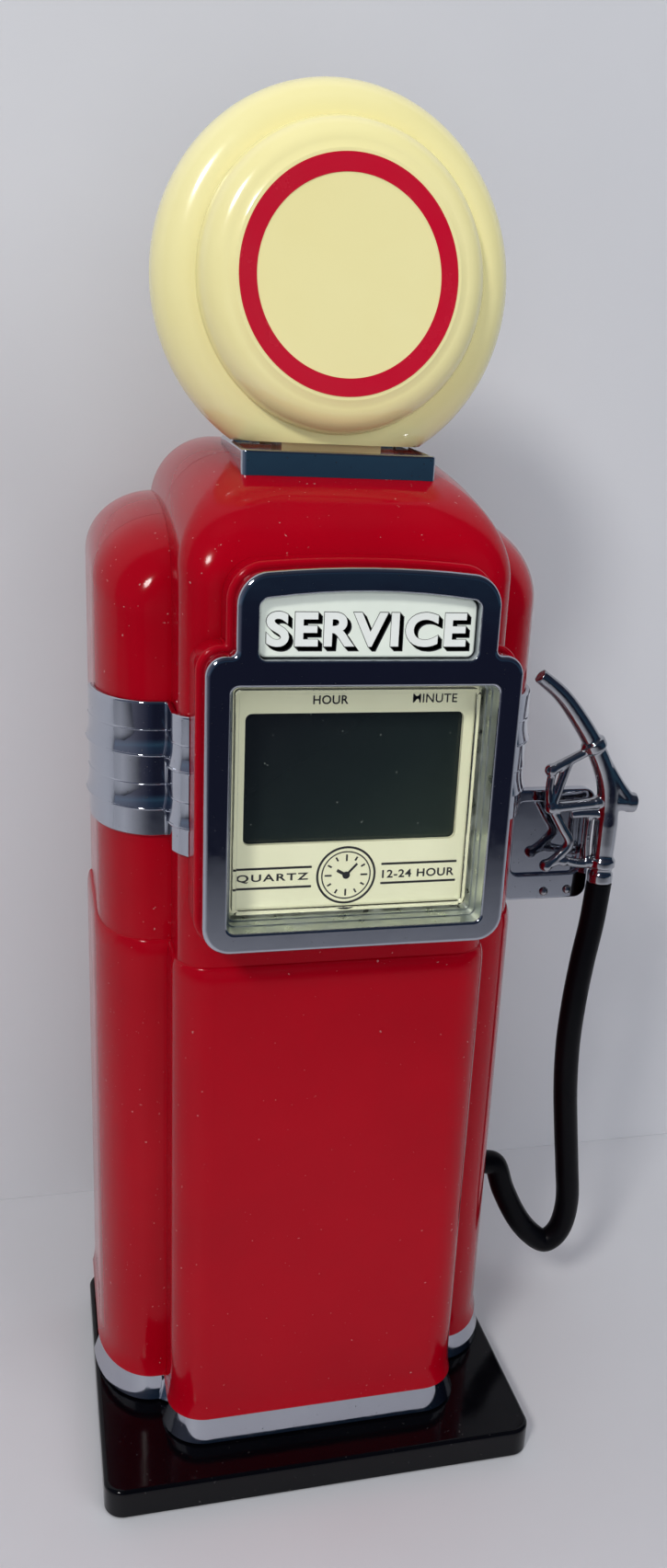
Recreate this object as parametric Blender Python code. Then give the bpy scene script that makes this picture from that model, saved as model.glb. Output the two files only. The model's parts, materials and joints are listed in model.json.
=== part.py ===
"""Service station advertising clock: a petrol pump shaped alarm clock, as separate pieces.

Metres, +Z up. The front faces -Y. The origin is the middle of the base plate's underside.
"""
import math

import bmesh
import bpy
from mathutils import Matrix, Vector

MM = 0.001
GAP = 0.3 * MM

# Base plate
BASE_WIDTH = 78.6 * MM
BASE_DEPTH = 59.0 * MM
BASE_HEIGHT = 5.6 * MM
BASE_CORNER = 3.6 * MM
BASE_EDGE = 0.7 * MM

# Body: a narrow centre section that stands forward of two wings
BODY_FOOT = BASE_HEIGHT + GAP
BODY_BACK = 27.0 * MM
CENTRE_BACK = 27.5 * MM
CENTRE_HALF = 26.6 * MM
CENTRE_FRONT = -20.7 * MM
CENTRE_CORNER = 6.4 * MM
CENTRE_TOP = 179.0 * MM
WING_HALF = 38.0 * MM
WING_FRONT = -8.4 * MM
WING_CORNER = 9.6 * MM
WING_ROUND_END = 5.8 * MM
WING_TOP = 169.7 * MM
STEP_IN = 0.8 * MM
LEDGE_TOP = 99.4 * MM
LEDGE_HEIGHT = 3.0 * MM
SKIRT_OUT = 0.5 * MM
SKIRT_STEP = 0.01 * MM
FOOT_EXTRA = 3.0 * MM
SKIRT_TOP = 14.6 * MM
WALL = 1.8 * MM
SEAM = 6.0 * MM

# Rounding of the roofs: side, front and height radii, and how far the roof falls forwards
CENTRE_ROOF = dict(side=11.0 * MM, front=10.0 * MM, rise=11.0 * MM, dome=250.0 * MM)
WING_ROOF = dict(side=12.5 * MM, front=5.5 * MM, rise=10.5 * MM, dome=190.0 * MM)

ROOF_CORNER_GROWTH = 0.35

# Chrome foot trim
TRIM_TOP = 10.4 * MM
TRIM_OUT_LOW = 1.2 * MM
TRIM_OUT_TOP = 0.5 * MM
TRIM_EDGE = 0.3 * MM
TRIM_RECESS = 0.9 * MM

# Side bands
BAND_BOTTOM = 117.9 * MM
BAND_TIER = 4.42 * MM
BAND_TIERS = 5
BAND_OUT = 0.9 * MM
BAND_FLARE = 1.45 * MM
BAND_LIP = 0.02 * MM
BAND_TOP_EDGE = (0.5 * MM, 0.4 * MM)
INNER_NOTCH = 0.9 * MM
MIN_RADIUS = 0.25 * MM
CORNER_STEPS = 4
WING_STEPS = 5

# Bezel and its platform
BEZEL_HALF = 23.5 * MM
BEZEL_BOTTOM = 106.0 * MM
BEZEL_SHOULDER = 151.2 * MM
BEZEL_CORNER = 4.2 * MM
SHOULDER_CORNER = 3.0 * MM
SHOULDER_NOTCH = 0.8 * MM
SIGN_PART_HALF = 19.2 * MM
SIGN_PART_TOP = 162.4 * MM
SIGN_PART_RISE = 1.2 * MM
BEZEL_FRONT = -30.1 * MM
BEZEL_BACK = -25.7 * MM
BEZEL_ROUND = 1.0 * MM
BEZEL_ROUND_STEPS = 4
WINDOW_CORNER = 0.8 * MM
WINDOW_LIP = 1.0 * MM
SIGN_LIP = 0.4 * MM
FLARE_DEPTH = 1.2 * MM
PLATFORM_FRONT = BEZEL_BACK + GAP
PLATFORM_BACK = -16.9 * MM
PLATFORM_OUT = 0.8 * MM
WINDOW_HALF = 19.9 * MM
WINDOW_BOTTOM = 109.4 * MM
WINDOW_TOP = 146.8 * MM
SIGN_HALF = 16.1 * MM
SIGN_BOTTOM = 150.6 * MM
SIGN_TOP = 159.1 * MM
SIGN_RISE = 1.2 * MM
ARCH_MARGIN = 0.1 * MM
SIGN_FRONT = -28.4 * MM
SIGN_CORNER = 1.2 * MM
SIGN_EDGE = 0.3 * MM

# Screws and the posts they go into
SHANK_RADIUS = 1.2 * MM
SCREW_HEAD_RADIUS = 2.6 * MM
SCREW_HEAD_DEPTH = 1.7 * MM
SCREW_HEAD_ROUND = 0.8 * MM
SCREW_TIP_LENGTH = 1.5 * MM
SCREW_TIP_RADIUS = 0.3 * MM
SCREW_SIDES = 8
HEAD_ROOM_RADIUS = 3.1 * MM
CLEARANCE_RADIUS = 1.8 * MM
PILOT_RADIUS = 1.6 * MM
BORE_SIDES = 12
FRONT_BOSS_Y = -1.5 * MM
REAR_BOSS_Y = 26.2 * MM
SHELL_BOSS_RADIUS = 4.2 * MM
SHELL_SCREW_HEAD = 23.2 * MM
SHELL_SCREW_LENGTH = 21.5 * MM
SHELL_HEAD_ROOM = 2.3 * MM
SHELL_SCREWS = [(-31.0 * MM, 22.0 * MM), (31.0 * MM, 22.0 * MM),
                (-31.0 * MM, 146.0 * MM), (31.0 * MM, 146.0 * MM)]
FOOT_BOSS_HALF = 3.0 * MM
FOOT_BOSS_RADIUS = 3.4 * MM
FOOT_BOSS_BLOCK_TOP = 19.5 * MM
FOOT_BOSS_TOP = 19.0 * MM
FOOT_PILOT_TOP = 16.0 * MM
BASE_SCREW_HEAD = 0.6 * MM
BASE_SCREW_LENGTH = 14.0 * MM
BASE_HEAD_ROOM = 2.6 * MM
BASE_SCREWS = [(-19.0 * MM, -13.0 * MM), (19.0 * MM, -13.0 * MM),
               (-22.0 * MM, 19.0 * MM), (22.0 * MM, 19.0 * MM)]

# Cutting planes that lie well outside the body
FAR = 60.0 * MM
HIGH = 190.0 * MM
BEHIND = 40.0 * MM

# Clock works behind the bezel
COLLAR_BACK = -24.1 * MM
COLLAR_GROW = 0.15 * MM
COLLAR_CORNER = 0.7 * MM
LENS_THICKNESS = 1.0 * MM
LENS_SEAT = 0.1 * MM
CARD_FRONT = -23.6 * MM
CARD_THICKNESS = 0.8 * MM
CARD_HALF = 20.3 * MM
CARD_GROW = 1.3 * MM
CARD_CORNER = 0.6 * MM
OPENING_GROW = 1.6 * MM
OPENING_BACK = -5.0 * MM
LCD_HALF = 16.8 * MM
LCD_BOTTOM = 121.2 * MM
LCD_TOP = 141.6 * MM
LCD_CORNER = 1.0 * MM
LCD_MARGIN = 1.6 * MM
LCD_THICKNESS = 2.2 * MM
GLASS_CORNER = 0.4 * MM
FRAME_LOW = LCD_BOTTOM - 6.0 * MM
FRAME_CORNER = 0.8 * MM
HOLLOW_CORNER = 0.5 * MM
ZEBRA_INSET = 1.6 * MM
ZEBRA_HALF = 1.0 * MM
BOARD_FRONT = -14.6 * MM
BOARD_THICKNESS = 1.2 * MM
BOARD_GROW = 1.0 * MM
BOARD_SCREW_X = 18.6 * MM
BOARD_SCREW_Z = LCD_BOTTOM - 3.6 * MM
BOARD_SCREW_RADIUS = 2.4 * MM
BOARD_SCREW_RISE = 2.0 * MM
BOARD_SCREW_LENGTH = 6.5 * MM
BOARD_HOLE_RADIUS = 1.7 * MM
PILOT_START = -19.0 * MM
CHIP_RADIUS = 6.0 * MM
CHIP_Z = 130.0 * MM
CHIP_PROFILE = ((1.0, GAP), (0.9, 0.9 * MM), (0.6, 1.5 * MM))
CRYSTAL_X = 12.0 * MM
CRYSTAL_RADIUS = 1.0 * MM
CRYSTAL_LOW = 118.0 * MM
CRYSTAL_HIGH = 125.0 * MM
CRYSTAL_LIFT = 1.4 * MM
CRYSTAL_EDGE = 0.2 * MM

# Globe and its holder
GLOBE_Y = 4.2 * MM
GLOBE_Z = 202.5 * MM
GLOBE_RADIUS = 28.0 * MM
GLOBE_WALL = 1.5 * MM
RIM_DEPTH = 6.6 * MM
RIM_BULGE = 5.4 * MM
DISC_RADIUS = 21.9 * MM
DISC_ROUND = 4.2 * MM
FACE_DEPTH = 12.1 * MM
DISC_ROOT = 0.2 * MM
FACE_FALL = 0.4 * MM
GLOBE_FLAT = 179.1 * MM
NECK_HALF = 8.0 * MM
NECK_DEPTH = 4.4 * MM
NECK_BOTTOM = 171.0 * MM
NECK_OVERLAP = 2.4 * MM
NECK_HOLE_BOTTOM = 165.0 * MM
RING_OUTER = 16.4 * MM
RING_INNER = 13.8 * MM
RING_THICKNESS = 0.3 * MM
RING_MARGIN = 0.8 * MM
RING_FALL = 0.1 * MM
HOLDER_HALF = 15.3 * MM
HOLDER_DEPTH = 22.0 * MM
HOLDER_CORNER = 0.9 * MM
HOLDER_EDGE = 0.4 * MM
HOLDER_BOTTOM = 170.0 * MM
HOLDER_TOP_FRONT = 178.0 * MM
HOLDER_TOP_BACK = 179.6 * MM
HOLDER_RIM = 1.0 * MM

# Nozzle on the right-hand side: paths are (x, z) in millimetres, sizes are radii in millimetres
NOZZLE_Y = 4.0 * MM
HANDLE_X = 56.7 * MM
FERRULE_BOTTOM = 101.3 * MM
SPOUT_PATH = ((40.6, 141.2), (45.1, 137.7), (48.9, 133.3), (52.5, 128.2), (55.3, 122.8),
              (56.6, 117.6), (56.7, 112.0))
SPOUT_RADII = (1.35, 2.1)
HANDLE_SECTIONS = ((116.0, 2.0), (113.0, 2.15), (109.0, 2.1), (106.4, 2.0), (106.0, 2.6),
                   (105.0, 2.6), (104.4, 2.1), (103.6, 2.45), (101.3, 2.45))
VALVE_CAP = ((55.5, 117.6), (62.2, 116.9), 1.75, 0.4)
SPOUT_COLLAR = ((52.0, 129.1), (53.0, 127.4), 2.35, 0.3)
NOZZLE_BARS = dict(valve_body=([(52.9, 128.0), (56.8, 122.0), (59.9, 117.6)], 1.5),
                   guard_top=([(52.4, 127.6), (48.4, 125.6), (44.6, 123.6)], 1.0),
                   guard_front=([(47.8, 125.0), (46.6, 120.6), (45.4, 116.2)], 1.0),
                   valve_bar=([(45.2, 116.3), (50.5, 116.6), (56.0, 117.2)], 1.15),
                   lever=([(45.6, 116.6), (47.8, 112.6), (49.6, 109.2), (47.6, 106.7),
                           (45.2, 104.9)], 1.0),
                   guard_low=([(45.4, 105.2), (48.4, 106.0), (52.0, 105.3), (56.0, 105.2)], 1.0))
NOZZLE_SIDES = 10
BAR_SIDES = 6

# Cradle plate behind the nozzle
CRADLE_Y = 6.9 * MM
CRADLE_THICKNESS = 2.2 * MM
CRADLE_OUT = 55.6 * MM
CRADLE_BOTTOM = 97.0 * MM
CRADLE_TOP = 119.0 * MM
CRADLE_CORNER = 2.4 * MM
CRADLE_EDGE = 0.3 * MM
CRADLE_START = 0.4 * MM
RECESS_START = 2.2 * MM
RECESS_LOW = 5.1 * MM
RECESS_OUT = 2.0 * MM
RECESS_HIGH = 2.4 * MM
RECESS_CORNER = 1.8 * MM
RECESS_DEPTH = 0.9 * MM
FLANGE_THICKNESS = 1.3 * MM
FLANGE_DEPTH = (0.5 * MM, 11.0 * MM)
FLANGE_HEIGHT = (101.5 * MM, 116.5 * MM)
RIVET_PLACES = ((46.8 * MM, 98.6 * MM), (51.6 * MM, 98.8 * MM))
RIVET_HOLE_RADIUS = 0.75 * MM
RIVET_PROFILE = ((-0.7, 0.3), (-0.55, 0.65), (-0.3, 0.85), (-0.3, 0.45), (1.9, 0.4))

# Hose: (x, y, z) in millimetres from the ferrule to the socket
HOSE_RADIUS = 2.4 * MM
HOSE_SIDES = 10
HOSE_MARKS = ((56.2, 4.1, 93.0), (55.2, 4.2, 84.5), (54.5, 4.3, 75.7), (54.4, 4.6, 66.5),
              (55.1, 5.0, 56.9), (56.5, 5.5, 46.8), (58.1, 6.0, 36.4), (59.2, 6.4, 28.0),
              (58.4, 6.8, 21.2), (55.6, 7.2, 18.0), (52.2, 7.7, 19.9), (48.8, 8.3, 24.2),
              (45.6, 9.1, 30.6), (43.6, 9.5, 36.3))
SOCKET_Y = 9.5 * MM
SOCKET_Z = 37.5 * MM
SOCKET_RADIUS = 3.2 * MM
SOCKET_INNER_X = 33.5 * MM
SOCKET_LIP_RADIUS = 4.1 * MM
SOCKET_LIP_LENGTH = 1.4 * MM
HOSE_STRAIGHT = 1.5 * MM
HOSE_HOLE = (30.0 * MM, 50.0 * MM)

# Rear controls and battery
PANEL_HALF = 18.0 * MM
PANEL_BOTTOM = 120.0 * MM
PANEL_TOP = 148.0 * MM
PANEL_THICKNESS = 1.6 * MM
PANEL_SINK = 0.3 * MM
PANEL_BACK = CENTRE_BACK - PANEL_THICKNESS - PANEL_SINK
PANEL_CORNER = 1.2 * MM
PANEL_EDGE = 0.2 * MM
OPENING_CORNER = 1.5 * MM
OPENING_START = 20.0 * MM
CONTROL_BOARD_Y = 18.6 * MM
CONTROL_BOARD_HALF = 16.0 * MM
CONTROL_BOARD_THICKNESS = 1.2 * MM
CONTROL_BOARD_INSET = 3.0 * MM
DOME_RADIUS = 1.7 * MM
DOME_DEPTH = (0.6 * MM, 2.0 * MM)
DOME_EDGE = 0.3 * MM
SOUND_Z = 104.0 * MM
SOUND_SLOTS = 5
SOUND_PITCH = 3.2 * MM
SOUND_SLOT_HALF = (6.0 * MM, 0.7 * MM)
SOUND_SLOT_CORNER = 0.6 * MM
SOUNDER_RADIUS = 9.0 * MM
SOUNDER_DEPTH = 1.6 * MM
SOUNDER_EDGE = 0.2 * MM
BUTTON_Z = 140.0 * MM
BUTTON_PITCH = 10.0 * MM
BUTTON_RADIUS = 2.6 * MM
BUTTON_STEM_RADIUS = 1.2 * MM
BUTTON_STEM_REACH = 2.6 * MM
BUTTON_FLANGE = (1.6 * MM, 0.9 * MM)
BUTTON_RISE = 1.8 * MM
BUTTON_EDGE = 0.4 * MM
SWITCH_Z = 127.5 * MM
SWITCH_SLOT = (4.6 * MM, 1.5 * MM, 0.5 * MM)
KNOB_LEFT = -4.3 * MM
KNOB_RIGHT = 0.3 * MM
KNOB_HALF = 1.2 * MM
KNOB_CORNER = 0.3 * MM
KNOB_EDGE = 0.2 * MM
KNOB_REACH = 2.2 * MM
KNOB_RISE = 1.3 * MM
KNOB_ORIGIN = -2.0 * MM
KNOB_FLANGE = (-5.6 * MM, 1.6 * MM, 2.4 * MM, 1.4 * MM)
RIBBON_HALF = 4.0 * MM
RIBBON_THICKNESS = 0.6 * MM
RIBBON_Z = 141.0 * MM
RIBBON_SAG = 2.0 * MM
RIBBON_BEND_REAR = 14.0 * MM
RIBBON_MIDDLE = 2.0 * MM
RIBBON_BEND_FRONT = -8.0 * MM
DOOR_HALF = 12.5 * MM
DOOR_BOTTOM = 24.0 * MM
DOOR_TOP = 88.0 * MM
DOOR_THICKNESS = 1.6 * MM
DOOR_CORNER = 1.2 * MM
DOOR_EDGE = 0.25 * MM
DOOR_STEP = 1.6 * MM
DOOR_LEDGE_LOW = 2.0 * MM
DOOR_LEDGE_HIGH = 3.0 * MM
DOOR_ROOM_CORNER = 1.0 * MM
GRIPS = 4
GRIP_FIRST = 6.0 * MM
GRIP_PITCH = 1.8 * MM
GRIP_HALF = (5.0 * MM, 0.45 * MM)
GRIP_CORNER = 0.3 * MM
GRIP_DEPTH = 0.5 * MM
CELL_RADIUS = 7.1 * MM
CELL_LENGTH = 49.5 * MM
CELL_Y = 15.2 * MM
CELL_Z = 55.5 * MM
CELL_BOTTOM = CELL_Z - CELL_LENGTH / 2
CELL_TOP = CELL_Z + CELL_LENGTH / 2
CELL_ROUND = 0.7 * MM
CELL_CAP_RADIUS = 2.7 * MM
CELL_CAP_TIP = 2.4 * MM
CELL_CAP_HEIGHT = 1.2 * MM
TRAY_SIDE = 2.0 * MM
TRAY_WALL = 1.2 * MM
TRAY_LOW = CELL_BOTTOM - 4.5 * MM
TRAY_HIGH = CELL_TOP + 2.6 * MM
CONTACT_HALF = (3.5 * MM, 4.0 * MM)
CONTACT_TOP = 0.8 * MM
SPRING_TURNS = 2.5
SPRING_STEPS = 10
SPRING_WIRE = 0.35 * MM
SPRING_WIRE_SIDES = 6
SPRING_REACH = (4.2 * MM, 2.8 * MM)

TURN_16 = [math.pi / 8.0 * k for k in range(16)]

# Colours are linear RGB
RED = (0.30, 0.002, 0.008)
CREAM = (0.84, 0.76, 0.36)
CRIMSON = (0.52, 0.002, 0.02)
CHROME = (0.75, 0.76, 0.78)
BLACK = (0.01, 0.01, 0.012)
STEEL = (0.5, 0.5, 0.52)
RUBBER = (0.2, 0.02, 0.02)
BOARD_GREEN = (0.02, 0.12, 0.04)
GREY = (0.25, 0.25, 0.26)
DISPLAY = (0.03, 0.045, 0.04)
CLEAR = (0.95, 0.95, 0.95)
SIGN_WHITE = (0.66, 0.72, 0.58)
BRASS = (0.6, 0.42, 0.16)
WRAP_BLUE = (0.08, 0.08, 0.35)

SMOOTH_ANGLE = 35.0
ROOF_SMOOTH_ANGLE = 30.0
GLOBE_SMOOTH_ANGLE = 40.0
BAR_SMOOTH_ANGLE = 55.0


# ---------------------------------------------------------------- helpers

def clear_scene():
    for item in list(bpy.data.objects):
        bpy.data.objects.remove(item, do_unlink=True)


def material(name, colour, roughness, metallic=0.0, transmission=0.0):
    made = bpy.data.materials.new(name)
    made.use_nodes = True
    shader = made.node_tree.nodes["Principled BSDF"]
    shader.inputs["Base Color"].default_value = (*colour, 1.0)
    shader.inputs["Roughness"].default_value = roughness
    shader.inputs["Metallic"].default_value = metallic
    shader.inputs["Transmission Weight"].default_value = transmission
    return made


def add_object(name, mesh, surface=None, origin=(0.0, 0.0, 0.0)):
    """Link a mesh as an object whose origin is at `origin`, its points staying in place."""
    mesh.transform(Matrix.Translation(-Vector(origin)))
    made = bpy.data.objects.new(name, mesh)
    made.location = origin
    if surface:
        mesh.materials.append(surface)
    bpy.context.scene.collection.objects.link(made)
    return made


def finish_mesh(name, bm, smooth_angle=SMOOTH_ANGLE):
    bmesh.ops.recalc_face_normals(bm, faces=bm.faces)
    mesh = bpy.data.meshes.new(name)
    bm.to_mesh(mesh)
    bm.free()
    mesh.shade_smooth()
    mesh.set_sharp_from_angle(angle=math.radians(smooth_angle))
    return mesh


def loft(name, loops, smooth_angle=SMOOTH_ANGLE):
    """Closed mesh through loops that all have the same number of points, capped at both ends."""
    bm = bmesh.new()
    rows = [[bm.verts.new(point) for point in loop] for loop in loops]
    count = len(rows[0])
    for lower, upper in zip(rows, rows[1:]):
        for i in range(count):
            j = (i + 1) % count
            bm.faces.new((lower[i], lower[j], upper[j], upper[i]))
    bm.faces.new(list(reversed(rows[0])))
    bm.faces.new(rows[-1])
    return finish_mesh(name, bm, smooth_angle)


def fillet(corners, steps=6):
    """Closed outline from (x, y, radius) corners, each rounded by an arc."""
    outline = []
    total = len(corners)
    for i, (x, y, radius) in enumerate(corners):
        corner = Vector((x, y))
        if radius <= 0.0:
            outline.append(corner)
            continue
        before = (Vector(corners[i - 1][:2]) - corner).normalized()
        after = (Vector(corners[(i + 1) % total][:2]) - corner).normalized()
        half = before.angle(after) / 2.0
        reach = radius / math.tan(half)
        centre = corner + (before + after).normalized() * (radius / math.sin(half))
        start = corner + before * reach - centre
        sweep = (corner + after * reach - centre).angle_signed(start)
        for k in range(steps + 1):
            angle = sweep * k / steps
            turned = Vector((start.x * math.cos(angle) - start.y * math.sin(angle),
                             start.x * math.sin(angle) + start.y * math.cos(angle)))
            outline.append(centre + turned)
    return [(point.x, point.y) for point in outline]


def rectangle(left, low, right, high, radius, steps=5):
    return fillet([(left, low, radius), (right, low, radius),
                   (right, high, radius), (left, high, radius)], steps)


def flat_loop(outline, z):
    return [(x, y, z) for x, y in outline]


def upright_loop(outline, y):
    """An outline drawn in x and z, standing at depth y."""
    return [(x, y, z) for x, z in outline]


def plate(name, outline, low, high, edge=0.0):
    """An upright slice: an x, z outline taken from depth low to depth high, edges chamfered."""
    if edge == 0.0:
        return loft(name, [upright_loop(outline, low), upright_loop(outline, high)])
    inner = shrink(outline, edge)
    return loft(name, [upright_loop(inner, low), upright_loop(outline, low + edge),
                       upright_loop(outline, high - edge), upright_loop(inner, high)])


def shrink(outline, distance):
    """Move an outline's points inwards by distance, square to its edges."""
    count = len(outline)
    moved = []
    for i in range(count):
        here = Vector(outline[i])
        before = (here - Vector(outline[i - 1])).normalized()
        after = (Vector(outline[(i + 1) % count]) - here).normalized()
        normal = Vector((-(before + after).y, (before + after).x)).normalized()
        stretch = 1.0 / max(0.5, normal.dot(Vector((-after.y, after.x))))
        moved.append(tuple(here + normal * distance * stretch))
    return moved


def box(name, low, high):
    outline = [(low[0], low[1]), (high[0], low[1]), (high[0], high[1]), (low[0], high[1])]
    return loft(name, [flat_loop(outline, low[2]), flat_loop(outline, high[2])])


def rod(name, start, end, radius, sides=16, edge=0.0):
    """Straight round bar between two points, its rims chamfered by edge."""
    start, end = Vector(start), Vector(end)
    along = (end - start).normalized()
    side = along.orthogonal().normalized()
    other = along.cross(side)
    stations = [(start, radius)]
    if edge:
        stations = [(start, radius - edge), (start + along * edge, radius),
                    (end - along * edge, radius), (end, radius - edge)]
    else:
        stations.append((end, radius))
    loops = []
    for centre, size in stations:
        angles = [2.0 * math.pi * k / sides for k in range(sides)]
        loops.append([centre + (side * math.cos(a) + other * math.sin(a)) * size for a in angles])
    return loft(name, loops)


def swept(name, path, radii, sides=NOZZLE_SIDES):
    """Round bar along a path that stays in a plane of constant y."""
    loops = []
    for i, point in enumerate(path):
        here = Vector(point)
        before = Vector(path[max(i - 1, 0)])
        after = Vector(path[min(i + 1, len(path) - 1)])
        along = (after - before).normalized()
        across = Vector((0.0, 1.0, 0.0))
        side = along.cross(across).normalized()
        radius = radii[i]
        angles = [2.0 * math.pi * k / sides for k in range(sides)]
        loops.append([here + side * math.cos(a) * radius + across * math.sin(a) * radius
                      for a in angles])
    return loft(name, loops, BAR_SMOOTH_ANGLE)


def cutter(name, mesh):
    made = add_object(name, mesh)
    made.hide_render = True
    made.display_type = "WIRE"
    return made


def combine(target, tool, operation="DIFFERENCE"):
    change = target.modifiers.new(tool.name, "BOOLEAN")
    change.operation = operation
    change.solver = "EXACT"
    change.object = tool


def cut(target, name, mesh):
    combine(target, cutter("cut_" + name, mesh))


def join(target, name, mesh):
    combine(target, cutter("join_" + name, mesh), "UNION")


# ---------------------------------------------------------------- body outlines

def quarter_arc(x, y, wide, deep, steps):
    """Quarter of an ellipse from the side at (x, y + deep) round to the front at (x - wide, y)."""
    turns = [math.pi / 2.0 * k / steps for k in range(steps + 1)]
    return [(x - wide * (1.0 - math.cos(a)), y + deep * (1.0 - math.sin(a))) for a in turns]


def block_loop(half, front, back, corner, z, round_end=None, steps=5, side_steps=4):
    """Plan outline of one body block: back left, forward, across the front, then back.

    The front corners are `corner` wide and reach back to `round_end`, or are round without it.
    """
    deep = corner if round_end is None else round_end - front
    arc = quarter_arc(half, front, corner, deep, steps)
    arcs = [(-x, y) for x, y in arc] + arc[::-1]
    side = [back + (front + deep - back) * k / side_steps for k in range(side_steps)]
    left = [(-half, y) for y in side]
    right = [(half, y) for y in reversed(side)]
    return flat_loop(left + arcs + right, z)


def roof_loop(half, front, back, corner, top, roof, turn, round_end):
    """Plan outline on the roof's rounding: turn 0 is the wall, a quarter turn the roof edge."""
    swing = 1.0 - math.cos(turn)
    loop = block_loop(half - roof["side"] * swing, front + roof["front"] * swing, back,
                      corner + ROOF_CORNER_GROWTH * roof["front"] * swing, top, round_end)
    fall = roof["rise"] * (1.0 - math.sin(turn))
    return [(x, y, z - fall - (back - y) ** 2 / roof["dome"]) for x, y, z in loop]


def skirt_offset(z):
    """How far the lower body flares out near its foot."""
    if z >= SKIRT_TOP:
        return 0.0
    share = (SKIRT_TOP - z) / (SKIRT_TOP - TRIM_TOP)
    return SKIRT_OUT * min(share, 1.0) ** 2


def wall_levels(inset):
    """Height and inset pairs of the walls, from the foot to above the ledge."""
    levels = [(BODY_FOOT - FOOT_EXTRA, inset + TRIM_RECESS)]
    if inset == 0.0:
        levels += [(TRIM_TOP + GAP, TRIM_RECESS), (TRIM_TOP + GAP + SKIRT_STEP, -SKIRT_OUT)]
    for k in range(1, 4):
        z = TRIM_TOP + (SKIRT_TOP - TRIM_TOP) * k / 3.0
        levels.append((z, inset - skirt_offset(z)))
    for k in range(4):
        turn = math.pi / 2.0 * k / 3.0
        levels.append((LEDGE_TOP - LEDGE_HEIGHT * (1.0 - math.sin(turn)),
                       inset + STEP_IN * (1.0 - math.cos(turn))))
    return levels


def body_block(name, half, front, back, corner, top, roof, inset=0.0, round_end=None):
    """One block of the body as a closed solid, inset all round."""
    loops = [block_loop(half - shift, front + shift, back - inset, max(corner - shift, MM), z,
                        round_end) for z, shift in wall_levels(inset)]
    shift = inset + STEP_IN
    inner_roof = {key: roof[key] - inset for key in ("side", "front", "rise")}
    inner_roof["dome"] = roof["dome"]
    for k in range(6):
        turn = math.pi / 2.0 * k / 5.0
        loops.append(roof_loop(half - shift, front + shift, back - inset, max(corner - shift, MM),
                               top - inset, inner_roof, turn, round_end))
    return roofed(name, loops)


def roofed(name, loops):
    """Loft closed on top by strips across the block, so that a domed roof stays fair."""
    bm = bmesh.new()
    rows = [[bm.verts.new(point) for point in loop] for loop in loops]
    count = len(rows[0])
    for lower, upper in zip(rows, rows[1:]):
        for i in range(count):
            j = (i + 1) % count
            bm.faces.new((lower[i], lower[j], upper[j], upper[i]))
    bm.faces.new(list(reversed(rows[0])))
    left = rows[-1][:count // 2]
    right = rows[-1][count // 2:][::-1]
    for i in range(len(left) - 1):
        bm.faces.new((left[i], left[i + 1], right[i + 1], right[i]))
    return finish_mesh(name, bm, ROOF_SMOOTH_ANGLE)


def centre_block(name, inset=0.0):
    return body_block(name, CENTRE_HALF, CENTRE_FRONT, CENTRE_BACK, CENTRE_CORNER,
                      CENTRE_TOP, CENTRE_ROOF, inset)


def wing_block(name, inset=0.0):
    return body_block(name, WING_HALF, WING_FRONT, BODY_BACK, WING_CORNER,
                      WING_TOP, WING_ROOF, inset, WING_ROUND_END)


# ---------------------------------------------------------------- base, shells and trims

def build_base(black, steel):
    outline = rectangle(-BASE_WIDTH / 2, -BASE_DEPTH / 2, BASE_WIDTH / 2, BASE_DEPTH / 2,
                        BASE_CORNER)
    near = 0.3 * BASE_EDGE
    base = add_object("base_plate", loft("base_plate", [
        flat_loop(outline, 0.0), flat_loop(outline, BASE_HEIGHT - BASE_EDGE),
        flat_loop(shrink(outline, near), BASE_HEIGHT - near),
        flat_loop(shrink(outline, BASE_EDGE), BASE_HEIGHT)]), black)
    for number, (x, y) in enumerate(BASE_SCREWS, 1):
        name = f"base_screw_{number}"
        cut(base, name + "_hole", rod(name, (x, y, -MM), (x, y, BASE_HEIGHT + MM),
                                      CLEARANCE_RADIUS, BORE_SIDES))
        cut(base, name + "_head_room", rod(name, (x, y, -MM), (x, y, BASE_HEAD_ROOM),
                                           HEAD_ROOM_RADIUS))
        add_object(name, screw_mesh(name, (x, y, BASE_SCREW_HEAD), (0, 0, 1), SCREW_HEAD_RADIUS,
                                    BASE_SCREW_LENGTH), steel)


def screw_mesh(name, head, along, radius, length):
    """Pan-head screw: its head's outer face at `head`, its shank running along `along`."""
    head, along = Vector(head), Vector(along)
    side = along.orthogonal().normalized()
    other = along.cross(side)
    shank = SHANK_RADIUS
    stations = [(0.0, radius * 0.55), (SCREW_HEAD_ROUND * 0.3, radius * 0.85),
                (SCREW_HEAD_ROUND, radius), (SCREW_HEAD_DEPTH, radius), (SCREW_HEAD_DEPTH, shank),
                (length - SCREW_TIP_LENGTH, shank), (length, SCREW_TIP_RADIUS)]
    angles = [2.0 * math.pi * k / SCREW_SIDES for k in range(SCREW_SIDES)]
    loops = []
    for reach, size in stations:
        loops.append([head + along * reach + (side * math.cos(a) + other * math.sin(a)) * size
                      for a in angles])
    return loft(name, loops)


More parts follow.
